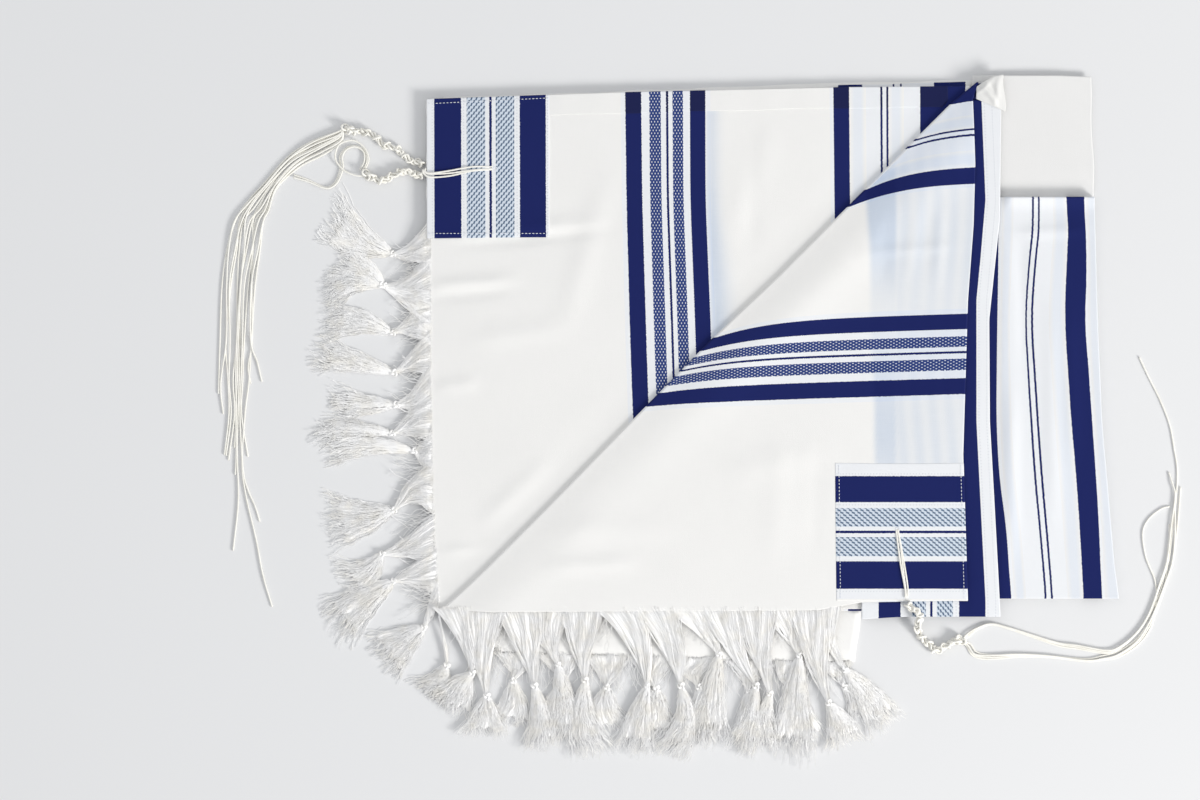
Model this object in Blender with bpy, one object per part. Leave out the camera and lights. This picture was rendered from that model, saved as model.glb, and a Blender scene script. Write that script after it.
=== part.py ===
"""A tallit prayer shawl, folded and laid flat on a surface.

The shawl is folded in half along its length, then folded across, and one corner of the
upper half is turned back along a diagonal. The frame is in metres: +X runs along the
lower half from its fringed end, +Y points to its long selvage, +Z is up from the
surface. The origin is on the surface, under the middle of the cloth and its fringes.
"""

import math
from typing import NamedTuple

import bmesh
import bpy
from mathutils import Vector

# Driving sizes
CLOTH_WALL = 0.0012
TRIM_WALL = 0.0010
SEAM_GAP = 0.0003
SWELL_GAP = 0.0007
STACK_LAYER = 0.0013
STACK_LAYERS = 4
STACK_JOIN = 0.0001
LAYER_ROUNDING = 0.0004
LAYER_ROUNDING_STEPS = 2
HEM_WIDTH = 0.018
HEM_FOLD_GAP = 0.010
FOLD_PINCH = 0.0010
FOLD_PINCH_REACH = 0.012
FOLD_SWELL = 0.0021
FOLD_SWELL_PLACE = 0.032
FOLD_SWELL_REACH = 0.022
FOLD_ARC_STEPS = 6
FOLD_TIP_GAP = 0.004
FRINGE_TIP_HEIGHT = 0.0024
FRINGE_KNOT_HEIGHT = 0.0050
FRINGE_KNOT_REACH = 0.030
FRINGE_NOTCH = 0.72
CORD_SPACING_IN_DIAMETERS = 2.6
CORD_LEAST_STEPS = 14
CORD_BEVEL_RESOLUTION = 2
ROUTE_SAMPLES = 24

# Heights of the layers above the surface, each a gap above the one below
STACK_TOP = STACK_LAYERS * STACK_LAYER
LOWER_BASE = STACK_TOP + SEAM_GAP
LOWER_TOP = LOWER_BASE + CLOTH_WALL
TRIM_BASE = LOWER_TOP + SEAM_GAP
TRIM_TOP = TRIM_BASE + TRIM_WALL
RETURN_BASE = LOWER_TOP + SEAM_GAP
RETURN_TOP = RETURN_BASE + CLOTH_WALL
BAND_BASE = RETURN_TOP + SEAM_GAP
BAND_TOP = BAND_BASE + TRIM_WALL
TURNED_BASE = BAND_TOP + SEAM_GAP
TURNED_TOP = TURNED_BASE + CLOTH_WALL
REAR_BASE = 2 * STACK_LAYER + SEAM_GAP
REAR_TOP = REAR_BASE + CLOTH_WALL


class Point(NamedTuple):
    """A place on the surface, seen from above."""

    x: float
    y: float


class Tassel(NamedTuple):
    """A knotted tassel of the fringe: where its threads leave the cloth and where it ends."""

    root: Point
    tip: Point


class Finish(NamedTuple):
    """A material's colour, red to blue, and its roughness."""

    red: float
    green: float
    blue: float
    roughness: float


CLOTH = Finish(0.84, 0.84, 0.83, 0.85)
RIBBON = Finish(0.020, 0.030, 0.135, 0.55)
FRINGE = Finish(0.80, 0.81, 0.84, 0.90)
CORD = Finish(0.76, 0.73, 0.64, 0.80)

# Edges of the lower half
LOWER_LEFT = (Point(-0.2466, -0.168), Point(-0.252, -0.05), Point(-0.255, 0.10), Point(-0.2555, 0.285))
LOWER_UPPER = (Point(-0.2555, 0.285), Point(-0.084, 0.291), Point(0.111, 0.2955), Point(0.217, 0.2955))
LOWER_BOTTOM = -0.168
LOWER_RIGHT = 0.222

# The diagonal fold and the other edges of the turned-back corner
FOLD_LOW = Point(-0.2395, -0.1676)
FOLD_HIGH = Point(0.2246, 0.2920)
TURNED_LOWER = (
    Point(-0.24, -0.1652),
    Point(-0.20, -0.168),
    Point(0.09, -0.167),
    Point(0.13, -0.160),
    Point(0.223, -0.1588),
)
TURNED_RIGHT = (
    Point(0.2230, -0.159),
    Point(0.2190, -0.03),
    Point(0.2232, 0.107),
    Point(0.2282, 0.174),
    Point(0.2297, 0.227),
    Point(0.2275, 0.285),
)
RETURN_RIGHT = 0.2400
TURNED_COLUMNS = (1.0, 0.8, 0.6, 0.4, 0.2, 0.08)
RETURN_COLUMNS = (0.3, 0.65, 1.0)
TURNED_ROWS = 37
TURNED_HEM_ROWS = 33
TURNED_HEM_TOP = 0.268
TURNED_HEM_FOLD_GAP = 0.006

# The neck band, of the same ribbon as the corner patches
BAND_LEFT = 0.1357
BAND_FOLD_CLEARANCE = 0.014
BAND_RIGHT = (
    Point(0.2525, -0.173),
    Point(0.2470, -0.07),
    Point(0.2430, 0.00),
    Point(0.2425, 0.09),
    Point(0.2520, 0.18),
    Point(0.2530, 0.284),
)

# The striped panel and the plain layer beyond the turned-back corner
STRIPED_LEFT = (Point(0.2545, -0.157), Point(0.2440, 0.00), Point(0.2510, 0.1987))
OUTER_RIGHT = (
    Point(0.3575, -0.157),
    Point(0.3530, -0.123),
    Point(0.3424, 0.001),
    Point(0.3386, 0.090),
    Point(0.3357, 0.199),
    Point(0.3326, 0.306),
)
STRIPED_TOP = 0.1987
STRIPED_LOWER = -0.157
STRIPED_ROUNDING = 0.0010
PLAIN_LEFT = 0.2285
PLAIN_LOWER = 0.1970
PLAIN_UPPER = 0.3060

# The corner patches, each a square of ribbon
LOWER_PATCH_RIGHT = -0.1472
LOWER_PATCH_BOTTOM = 0.1632
TURNED_PATCH_LEFT = 0.1064
TURNED_PATCH_TOP = -0.0373

# The layers folded away beneath, from the lowest up. The lower two reach out past the
# turned-back corner's fringed end, and the upper two stop at the plain layer
STACK_OUTLINES = (
    (
        Point(-0.2430, -0.1600),
        Point(-0.2150, -0.1900),
        Point(-0.1900, -0.2060),
        Point(-0.0500, -0.2105),
        Point(0.1000, -0.2150),
        Point(0.1240, -0.2140),
        Point(0.1310, -0.1570),
        Point(0.3540, -0.1545),
        Point(0.3395, 0.0000),
        Point(0.3335, 0.1900),
        Point(0.3305, 0.3040),
        Point(0.1050, 0.3000),
        Point(-0.2400, 0.2860),
    ),
    (
        Point(-0.2405, -0.1585),
        Point(-0.2140, -0.1885),
        Point(-0.1890, -0.2045),
        Point(-0.0500, -0.2090),
        Point(0.0990, -0.2135),
        Point(0.1225, -0.2125),
        Point(0.1295, -0.1555),
        Point(0.3520, -0.1530),
        Point(0.3375, 0.0000),
        Point(0.3315, 0.1900),
        Point(0.3290, 0.3025),
        Point(0.1050, 0.2985),
        Point(-0.2380, 0.2840),
    ),
    (
        Point(-0.2435, -0.1610),
        Point(0.3530, -0.1550),
        Point(0.3385, 0.0000),
        Point(0.3325, 0.1955),
        Point(0.2275, 0.1960),
        Point(0.2270, 0.3010),
        Point(-0.2410, 0.2870),
    ),
    (
        Point(-0.2400, -0.1590),
        Point(0.3505, -0.1535),
        Point(0.3360, 0.0000),
        Point(0.3300, 0.1935),
        Point(0.2255, 0.1940),
        Point(0.2250, 0.2985),
        Point(-0.2375, 0.2845),
    ),
)

# The crumpled corner of a hidden layer, from its outer side to the band
CRUMPLE_LEFT = 0.2340
CRUMPLE_RIGHT = 0.2565
CRUMPLE_LOWER = 0.2755
CRUMPLE_UPPER = 0.3055
CRUMPLE_RISE = 0.0022
CRUMPLE_COLUMNS = 6
CRUMPLE_ROWS = 7
CRUMPLE_ROW_TURN = 2.1
CRUMPLE_COLUMN_TURN = 1.7

# Fringes
LEFT_TASSELS = (
    Tassel(Point(-0.2560, 0.155), Point(-0.3470, 0.2005)),
    Tassel(Point(-0.2560, 0.130), Point(-0.3353, 0.1428)),
    Tassel(Point(-0.2560, 0.100), Point(-0.3513, 0.1091)),
    Tassel(Point(-0.2560, 0.062), Point(-0.3575, 0.0594)),
    Tassel(Point(-0.2558, 0.027), Point(-0.3442, 0.0213)),
    Tassel(Point(-0.2553, 0.000), Point(-0.3575, -0.0124)),
    Tassel(Point(-0.2547, -0.030), Point(-0.3450, -0.0400)),
    Tassel(Point(-0.2540, -0.066), Point(-0.3468, -0.0878)),
    Tassel(Point(-0.2525, -0.102), Point(-0.3326, -0.1437)),
    Tassel(Point(-0.2505, -0.133), Point(-0.3424, -0.1809)),
    Tassel(Point(-0.2490, -0.152), Point(-0.3007, -0.2164)),
    Tassel(Point(-0.2480, -0.163), Point(-0.2600, -0.2480)),
)
TURNED_TASSELS = (
    Tassel(Point(-0.225, -0.1690), Point(-0.2480, -0.2590)),
    Tassel(Point(-0.195, -0.1690), Point(-0.2060, -0.2850)),
    Tassel(Point(-0.158, -0.1690), Point(-0.1560, -0.2960)),
    Tassel(Point(-0.120, -0.1690), Point(-0.1064, -0.2998)),
    Tassel(Point(-0.085, -0.1690), Point(-0.0781, -0.2971)),
    Tassel(Point(-0.045, -0.1690), Point(-0.0390, -0.3016)),
    Tassel(Point(-0.005, -0.1690), Point(0.0195, -0.2998)),
    Tassel(Point(0.035, -0.1690), Point(0.0683, -0.3060)),
    Tassel(Point(0.068, -0.1690), Point(0.1000, -0.2960)),
    Tassel(Point(0.092, -0.1690), Point(0.1540, -0.2740)),
    Tassel(Point(0.104, -0.1690), Point(0.1500, -0.2350)),
)
HIDDEN_TASSELS = (
    Tassel(Point(-0.200, -0.2070), Point(-0.2260, -0.2600)),
    Tassel(Point(-0.120, -0.2100), Point(-0.1240, -0.2850)),
    Tassel(Point(-0.030, -0.2125), Point(-0.0260, -0.2880)),
    Tassel(Point(0.060, -0.2155), Point(0.0800, -0.2860)),
    Tassel(Point(0.112, -0.2165), Point(0.1350, -0.2500)),
)
HIDDEN_FRINGE_HEIGHT = 0.0024

# Tzitzit: radii of the stand-in tubes, and their routes as (x, y, z)
HOLE_STRAND_RADIUS = 0.0012
KNOTTED_RADIUS = 0.0032
STRAND_RADIUS = 0.0012
RING_RADIUS = 0.0013
ON_SURFACE = 0.0002
STRAND_REST = STRAND_RADIUS + ON_SURFACE
KNOT_REST = KNOTTED_RADIUS + ON_SURFACE
RING_REST = RING_RADIUS + ON_SURFACE

LOWER_HOLE_ROUTE = (
    (-0.1969, 0.2235, 0.0098),
    (-0.2150, 0.2222, 0.0098),
    (-0.2350, 0.2196, 0.0098),
    (-0.2520, 0.2190, 0.0098),
    (-0.2575, 0.2205, 0.0094),
    (-0.2587, 0.2232, 0.0090),
)
LOWER_UPPER_KNOTS_ROUTE = (
    (-0.2592, 0.2276, 0.0045),
    (-0.2625, 0.2290, KNOT_REST),
    (-0.2665, 0.2290, KNOT_REST),
    (-0.2728, 0.2329, KNOT_REST),
    (-0.2780, 0.2382, KNOT_REST),
    (-0.2845, 0.2422, KNOT_REST),
    (-0.2949, 0.2453, KNOT_REST),
    (-0.3002, 0.2511, KNOT_REST),
    (-0.3105, 0.2563, KNOT_REST),
    (-0.3200, 0.2572, KNOT_REST),
    (-0.3287, 0.2596, KNOT_REST),
)
LOWER_SECOND_KNOTS_ROUTE = (
    (-0.2592, 0.2188, 0.0045),
    (-0.2640, 0.2178, KNOT_REST),
    (-0.2700, 0.2205, KNOT_REST),
    (-0.2767, 0.2212, KNOT_REST),
    (-0.2858, 0.2173, KNOT_REST),
    (-0.2975, 0.2129, KNOT_REST),
    (-0.3050, 0.2165, KNOT_REST),
    (-0.3105, 0.2195, KNOT_REST),
)
LOWER_RING_ROUTE = (
    (-0.3142, 0.2222, RING_REST),
    (-0.3105, 0.2300, RING_REST),
    (-0.3115, 0.2390, RING_REST),
    (-0.3190, 0.2435, RING_REST),
    (-0.3270, 0.2415, RING_REST),
    (-0.3315, 0.2345, RING_REST),
    (-0.3310, 0.2240, RING_REST),
    (-0.3353, 0.2121, RING_REST),
    (-0.3418, 0.2069, RING_REST),
    (-0.3482, 0.2076, RING_REST),
    (-0.3614, 0.2134, RING_REST),
    (-0.3740, 0.2172, RING_REST),
)
LOWER_STRAND_ROUTES = (
    (
        (-0.3344, 0.2572, STRAND_REST),
        (-0.3583, 0.2475, STRAND_REST),
        (-0.3787, 0.2342, STRAND_REST),
        (-0.3996, 0.2111, STRAND_REST),
        (-0.4169, 0.1934, STRAND_REST),
        (-0.4275, 0.1765, STRAND_REST),
        (-0.4329, 0.1517, STRAND_REST),
        (-0.4373, 0.1197, STRAND_REST),
        (-0.4391, 0.0718, STRAND_REST),
        (-0.4404, 0.0240, STRAND_REST),
    ),
    (
        (-0.3344, 0.2537, STRAND_REST),
        (-0.3548, 0.2439, STRAND_REST),
        (-0.3761, 0.2312, STRAND_REST),
        (-0.3956, 0.2098, STRAND_REST),
        (-0.4098, 0.1907, STRAND_REST),
        (-0.4187, 0.1765, STRAND_REST),
        (-0.4231, 0.1517, STRAND_REST),
        (-0.4275, 0.1197, STRAND_REST),
        (-0.4293, 0.0718, STRAND_REST),
        (-0.4311, 0.0364, STRAND_REST),
        (-0.4293, 0.0062, STRAND_REST),
        (-0.4337, -0.0310, STRAND_REST),
    ),
    (
        (-0.3335, 0.2501, STRAND_REST),
        (-0.3504, 0.2404, STRAND_REST),
        (-0.3728, 0.2280, STRAND_REST),
        (-0.3916, 0.2084, STRAND_REST),
        (-0.4027, 0.1889, STRAND_REST),
        (-0.4098, 0.1765, STRAND_REST),
        (-0.4133, 0.1517, STRAND_REST),
        (-0.4178, 0.1197, STRAND_REST),
        (-0.4204, 0.0718, STRAND_REST),
        (-0.4222, 0.0364, STRAND_REST),
        (-0.4231, 0.0062, STRAND_REST),
        (-0.4240, -0.0302, STRAND_REST),
        (-0.4228, -0.0701, STRAND_REST),
        (-0.4275, -0.1153, STRAND_REST),
    ),
    (
        (-0.3317, 0.2466, STRAND_REST),
        (-0.3459, 0.2369, STRAND_REST),
        (-0.3690, 0.2249, STRAND_REST),
        (-0.3876, 0.2067, STRAND_REST),
        (-0.3956, 0.1872, STRAND_REST),
        (-0.4009, 0.1765, STRAND_REST),
        (-0.4036, 0.1517, STRAND_REST),
        (-0.4080, 0.1197, STRAND_REST),
        (-0.4098, 0.0718, STRAND_REST),
        (-0.4133, 0.0364, STRAND_REST),
        (-0.4169, 0.0062, STRAND_REST),
        (-0.4195, -0.0373, STRAND_REST),
        (-0.4160, -0.0665, STRAND_REST),
        (-0.4071, -0.1047, STRAND_REST),
        (-0.4009, -0.1370, STRAND_REST),
        (-0.3927, -0.1650, STRAND_REST),
    ),
)
TURNED_HOLE_ROUTE = (
    (0.1614, -0.0958, 0.0139),
    (0.1640, -0.1100, 0.0139),
    (0.1662, -0.1300, 0.0139),
    (0.1684, -0.1480, 0.0139),
    (0.1692, -0.1570, 0.0139),
)
TURNED_KNOTS_ROUTE = (
    (0.1698, -0.1628, 0.0132),
    (0.1797, -0.1698, 0.0132),
    (0.1806, -0.1765, 0.0138),
    (0.1800, -0.1830, 0.0078),
    (0.1799, -0.1868, KNOT_REST),
    (0.1814, -0.1898, KNOT_REST),
    (0.1885, -0.1969, KNOT_REST),
    (0.1955, -0.2030, KNOT_REST),
    (0.2060, -0.1987, KNOT_REST),
    (0.2147, -0.1943, KNOT_REST),
    (0.2195, -0.1950, KNOT_REST),
)
TURNED_STRAND_ROUTES = (
    (
        (0.2240, -0.1905, STRAND_REST),
        (0.2323, -0.1847, STRAND_REST),
        (0.2445, -0.1803, STRAND_REST),
        (0.2603, -0.1836, STRAND_REST),
        (0.2797, -0.1898, STRAND_REST),
        (0.3042, -0.1978, STRAND_REST),
        (0.3217, -0.2005, STRAND_REST),
        (0.3477, -0.2049, STRAND_REST),
        (0.3601, -0.2005, STRAND_REST),
        (0.3725, -0.1898, STRAND_REST),
        (0.3814, -0.1777, STRAND_REST),
        (0.3883, -0.1637, STRAND_REST),
        (0.3953, -0.1443, STRAND_REST),
        (0.4024, -0.1233, STRAND_REST),
        (0.4062, -0.0914, STRAND_REST),
        (0.4090, -0.0665, STRAND_REST),
        (0.4100, -0.0439, STRAND_REST),
        (0.4071, -0.0239, STRAND_REST),
        (0.4031, -0.0029, STRAND_REST),
        (0.3947, 0.0186, STRAND_REST),
        (0.3850, 0.0381, STRAND_REST),
        (0.3761, 0.0569, STRAND_REST),
    ),
    (
        (0.2240, -0.1995, STRAND_REST),
        (0.2288, -0.2067, STRAND_REST),
        (0.2375, -0.2093, STRAND_REST),
        (0.2528, -0.2093, STRAND_REST),
        (0.2691, -0.2084, STRAND_REST),
        (0.2954, -0.2092, STRAND_REST),
        (0.3287, -0.2127, STRAND_REST),
        (0.3445, -0.2110, STRAND_REST),
        (0.3580, -0.2078, STRAND_REST),
        (0.3750, -0.1965, STRAND_REST),
        (0.3858, -0.1810, STRAND_REST),
        (0.3929, -0.1650, STRAND_REST),
        (0.4000, -0.1446, STRAND_REST),
        (0.4063, -0.1233, STRAND_REST),
        (0.4103, -0.0914, STRAND_REST),
        (0.4130, -0.0585, STRAND_REST),
    ),
    (
        (0.3899, -0.1423, STRAND_REST),
        (0.3818, -0.1210, STRAND_REST),
        (0.3785, -0.0996, STRAND_REST),
        (0.3832, -0.0865, STRAND_REST),
        (0.3947, -0.0766, STRAND_REST),
        (0.4030, -0.0745, STRAND_REST),
    ),
)


def clear_scene():
    """Remove every object, so that the part is all the scene holds."""
    for item in list(bpy.data.objects):
        bpy.data.objects.remove(item, do_unlink=True)


def material(name, finish):
    """A plain Principled material in a finish's colour."""
    made = bpy.data.materials.new(name)
    made.use_nodes = True
    shader = made.node_tree.nodes["Principled BSDF"]
    shader.inputs["Base Color"].default_value = (finish.red, finish.green, finish.blue, 1.0)
    shader.inputs["Roughness"].default_value = finish.roughness
    shader.inputs["Metallic"].default_value = 0.0
    return made


def object_of(name, points, faces, finish):
    """A mesh object of these points and faces, with its own material."""
    mesh = bpy.data.meshes.new(name)
    mesh.from_pydata([tuple(point) for point in points], [], faces)
    mesh.materials.append(material(name, finish))
    shaped = bmesh.new()
    shaped.from_mesh(mesh)
    bmesh.ops.triangulate(shaped, faces=shaped.faces)
    bmesh.ops.recalc_face_normals(shaped, faces=shaped.faces)
    shaped.to_mesh(mesh)
    shaped.free()
    made = bpy.data.objects.new(name, mesh)
    bpy.context.scene.collection.objects.link(made)
    return made


def closed_sheet(name, upper, lower, finish):
    """A closed solid between two grids of points with the same rows and columns."""
    rows = len(upper)
    columns = len(upper[0])
    points = [point for row in upper for point in row] + [point for row in lower for point in row]
    below = rows * columns
    faces = []
    for row in range(rows - 1):
        for column in range(columns - 1):
            first = row * columns + column
            corners = (first, first + 1, first + columns + 1, first + columns)
            faces.append(corners)
            faces.append(tuple(below + corner for corner in reversed(corners)))
    rim = [column for column in range(columns)]
    rim += [row * columns + columns - 1 for row in range(1, rows)]
    rim += [(rows - 1) * columns + column for column in range(columns - 2, -1, -1)]
    rim += [row * columns for row in range(rows - 2, 0, -1)]
    for start, end in zip(rim, rim[1:] + rim[:1]):
        faces.append((end, start, below + start, below + end))
    return object_of(name, points, faces, finish)


def wall(name, upper, thickness, finish):
    """A wall of even thickness under a grid of points."""
    lower = [[point - Vector((0.0, 0.0, thickness)) for point in row] for row in upper]
    return closed_sheet(name, upper, lower, finish)


def bridged_rings(name, rings, finish):
    """A closed solid through rings of points, with flat ends."""
    count = len(rings[0])
    points = [point for ring in rings for point in ring]
    faces = [tuple(range(count)), tuple((len(rings) - 1) * count + i for i in reversed(range(count)))]
    for ring in range(len(rings) - 1):
        for i in range(count):
            after = (i + 1) % count
            first = ring * count
            faces.append((first + after, first + i, first + count + i, first + count + after))
    return object_of(name, points, faces, finish)


def interpolate(value, pairs):
    """A value read along straight runs between (key, value) pairs in rising order of key."""
    for (key, start), (next_key, end) in zip(pairs, pairs[1:]):
        if value <= next_key:
            share = max(0.0, (value - key) / (next_key - key))
            return start + share * (end - start)
    return pairs[-1][1]


def x_on(edge, y):
    """Where a mostly upright edge is at height y."""
    return interpolate(y, [(point.y, point.x) for point in edge])


def y_on(edge, x):
    """Where a mostly level edge is at x."""
    return interpolate(x, [(point.x, point.y) for point in edge])


def mix(start, end, share):
    """A value between two others."""
    return start + share * (end - start)


def shares(count):
    """Even steps from 0 to 1."""
    return [step / (count - 1) for step in range(count)]


def fold_x(y):
    """Where the diagonal fold is at height y."""
    return mix(FOLD_LOW.x, FOLD_HIGH.x, (y - FOLD_LOW.y) / (FOLD_HIGH.y - FOLD_LOW.y))


def fold_normal():
    """The direction across the diagonal fold, towards the lower half that still shows."""
    run = Vector((FOLD_HIGH.x - FOLD_LOW.x, FOLD_HIGH.y - FOLD_LOW.y, 0.0)).normalized()
    return Vector((-run.y, run.x, 0.0))


def fold_distance(x, y):
    """How far a place on the turned-back corner is from the diagonal fold."""
    return max(0.0, -(Vector((x - FOLD_LOW.x, y - FOLD_LOW.y, 0.0)).dot(fold_normal())))


def turned_height(x, y):
    """The height of the turned-back corner's upper side, pinched at its fold and swelling beside it."""
    near = fold_distance(x, y)
    pinch = FOLD_PINCH * math.exp(-((near / FOLD_PINCH_REACH) ** 2))
    swell = FOLD_SWELL * math.exp(-(((near - FOLD_SWELL_PLACE) / FOLD_SWELL_REACH) ** 2))
    return TURNED_TOP - pinch + swell


def make_hidden_layers():
    """The folded-away layers, one solid with a ledge for each layer at its edges."""
    slabs = []
    for index, outline in enumerate(STACK_OUTLINES):
        low = index * STACK_LAYER - (STACK_JOIN if index else 0.0)
        high = (index + 1) * STACK_LAYER
        slabs.append(make_slab(f"hidden_layer_{index}", outline, low, high))
    joined = slabs[0]
    joined.name = "hidden_layers"
    for slab in slabs[1:]:
        union = joined.modifiers.new(slab.name, "BOOLEAN")
        union.operation = "UNION"
        union.object = slab
        slab.hide_render = True
        slab.display_type = "WIRE"


def make_slab(name, outline, low, high):
    """A flat slab over an outline, with its upper rim rounded."""
    shaped = bmesh.new()
    face = shaped.faces.new([shaped.verts.new((point.x, point.y, low)) for point in outline])
    raised = bmesh.ops.extrude_face_region(shaped, geom=[face])["geom"]
    top_points = [item for item in raised if isinstance(item, bmesh.types.BMVert)]
    bmesh.ops.translate(shaped, verts=top_points, vec=(0.0, 0.0, high - low))
    rim = [edge for edge in shaped.edges if all(vert in top_points for vert in edge.verts)]
    bmesh.ops.bevel(
        shaped, geom=rim, offset=LAYER_ROUNDING, segments=LAYER_ROUNDING_STEPS, affect="EDGES", profile=0.5
    )
    bmesh.ops.recalc_face_normals(shaped, faces=shaped.faces)
    mesh = bpy.data.meshes.new(name)
    shaped.to_mesh(mesh)
    shaped.free()
    mesh.materials.append(material(name, CLOTH))
    made = bpy.data.objects.new(name, mesh)
    bpy.context.scene.collection.objects.link(made)
    return made


def lower_point(across, up, height):
    """A point of the lower half, from shares of its width and height."""
    y = mix(LOWER_BOTTOM, LOWER_LEFT[-1].y, up)
    x = mix(x_on(LOWER_LEFT, y), LOWER_RIGHT, across)
    return Vector((x, mix(LOWER_BOTTOM, y_on(LOWER_UPPER, x), up), height))


def make_lower_half():
    """The half that lies face up, with its fringed end on the left."""
    grid = [[lower_point(across, up, LOWER_TOP) for across in shares(11)] for up in shares(11)]
    wall("lower_half", grid, CLOTH_WALL, CLOTH)


def make_lower_hem():
    """The turned and stitched hem along the lower half's long selvage."""
    grid = []
    for up in shares(3):
        row = []
        for along in shares(10):
            y_guess = LOWER_UPPER[-1].y - HEM_WIDTH * (1.0 - up)
            end = fold_x(y_guess) - HEM_FOLD_GAP
            x = mix(LOWER_PATCH_RIGHT + SEAM_GAP, end, along)
            row.append(Vector((x, y_on(LOWER_UPPER, x) - HEM_WIDTH * (1.0 - up), TRIM_TOP)))
        grid.append(row)
    wall("lower_selvage_hem", grid, TRIM_WALL, CLOTH)


def make_lower_patch():
    """The ribbon square sewn on the lower half's corner."""
    grid = []
    for up in shares(4):
        row = []
        for across in shares(4):
            y = mix(LOWER_PATCH_BOTTOM, LOWER_LEFT[-1].y, up)
            x = mix(x_on(LOWER_LEFT, y), LOWER_PATCH_RIGHT, across)
            row.append(Vector((x, mix(LOWER_PATCH_BOTTOM, y_on(LOWER_UPPER, x), up), TRIM_TOP)))
        grid.append(row)
    wall("lower_corner_patch", grid, TRIM_WALL, RIBBON)


def turned_point(across, up):
    """A place on the turned-back corner, from shares of its width and height."""
    top = FOLD_HIGH.y - FOLD_TIP_GAP
    y = mix(FOLD_LOW.y, top, up)
    x = mix(fold_x(y), x_on(TURNED_RIGHT, y), across)
    drop = y_on(TURNED_LOWER, x) - FOLD_LOW.y
    return Point(x, y + drop * (1.0 - up) ** 2)


def make_turned_corner():
    """The turned-back corner: its upper side, the rolled fold and the cloth that returns beneath it."""
    outer_radius = (turned_height(FOLD_LOW.x, FOLD_LOW.y) - RETURN_BASE) / 2
    inner_radius = outer_radius - CLOTH_WALL
    middle = RETURN_BASE + outer_radius
    normal = fold_normal()
    rings = []
    for up in shares(TURNED_ROWS):
        start = turned_point(0.0, up)
        centre = Vector((start.x, start.y, 0.0)) - normal * outer_radius
        right = turned_point(1.0, up)
        outer, inner = [], []
        for across in TURNED_COLUMNS:
            x = mix(centre.x, right.x, across)
            y = mix(centre.y, right.y, across)
            height = turned_height(x, y)
            outer.append(Vector((x, y, height)))
            inner.append(Vector((x, y, height - CLOTH_WALL)))
        for step in range(FOLD_ARC_STEPS + 1):
            angle = math.pi * step / FOLD_ARC_STEPS
            for ring, radius in ((outer, outer_radius), (inner, inner_radius)):
                reach = centre + normal * radius * math.sin(angle)
                ring.append(Vector((reach.x, reach.y, middle + radius * math.cos(angle))))
        for across in RETURN_COLUMNS:
            x = mix(centre.x, RETURN_RIGHT, across)
            y = mix(centre.y, right.y, across)
            outer.append(Vector((x, y, RETURN_BASE)))
            inner.append(Vector((x, y, RETURN_TOP)))
        rings.append(outer + inner[::-1])
    bridged_rings("turned_corner", rings, CLOTH)


def make_turned_hem():
    """The hem on the turned-back corner's selvage, made from its points moved out."""
    lower = TURNED_PATCH_TOP + SEAM_GAP
    grid = []
    for up in shares(TURNED_HEM_ROWS):
        y = mix(lower, TURNED_HEM_TOP, up)
        right = x_on(TURNED_RIGHT, y)
        left = max(right - HEM_WIDTH, fold_x(y) + TURNED_HEM_FOLD_GAP)
        row = []
        for across in shares(3):
            x = mix(left, right, across)
            row.append(Vector((x, y, turned_height(x, y) + SWELL_GAP + TRIM_WALL)))
        grid.append(row)
    wall("turned_selvage_hem", grid, TRIM_WALL, CLOTH)


def make_turned_patch():
    """The ribbon square sewn on the turned-back corner, made from its points moved out."""
    grid = []
    for up in shares(4):
        row = []
        for across in shares(4):
            y_guess = mix(TURNED_RIGHT[0].y, TURNED_PATCH_TOP, up)
            x = mix(TURNED_PATCH_LEFT, x_on(TURNED_RIGHT, y_guess), across)
            y = mix(TURNED_RIGHT[0].y, TURNED_PATCH_TOP, up)
            row.append(Vector((x, y, turned_height(x, y) + SEAM_GAP + TRIM_WALL)))
        grid.append(row)
    wall("turned_corner_patch", grid, TRIM_WALL, RIBBON)


def make_neck_band():
    """The neck band: a strip of the ribbon that runs under the turned-back corner."""
    grid = []
    for up in shares(14):
        y = mix(BAND_RIGHT[0].y, BAND_RIGHT[-1].y, up)
        left = max(BAND_LEFT, fold_x(y) + BAND_FOLD_CLEARANCE)
        right = x_on(BAND_RIGHT, y)
        grid.append([Vector((mix(left, right, across), y, BAND_TOP)) for across in shares(4)])
    wall("neck_band", grid, TRIM_WALL, RIBBON)


def make_striped_panel():
    """The doubled panel beyond the neck band, with a rounded fold along its top edge."""
    rows = 10
    upper, lower = [], []
    for index, up in enumerate(shares(rows)):
        y = mix(STRIPED_LOWER, STRIPED_TOP, up)
        left = x_on(STRIPED_LEFT, y)
        right = x_on(OUTER_RIGHT, y)
        ease = STRIPED_ROUNDING if index == rows - 1 else 0.0
        upper.append([Vector((mix(left, right, across), y, RETURN_TOP - ease)) for across in shares(4)])
        lower.append([Vector((mix(left, right, across), y, LOWER_BASE + ease)) for across in shares(4)])
    closed_sheet("striped_panel", upper, lower, CLOTH)


def make_plain_panel():
    """The plain layer beyond the striped panel's top edge."""
    grid = []
    for up in shares(4):
        y = mix(PLAIN_LOWER, PLAIN_UPPER, up)
        right = x_on(OUTER_RIGHT, y)
        grid.append([Vector((mix(PLAIN_LEFT, right, across), y, REAR_TOP)) for across in shares(4)])
    wall("plain_panel", grid, CLOTH_WALL, CLOTH)


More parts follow.
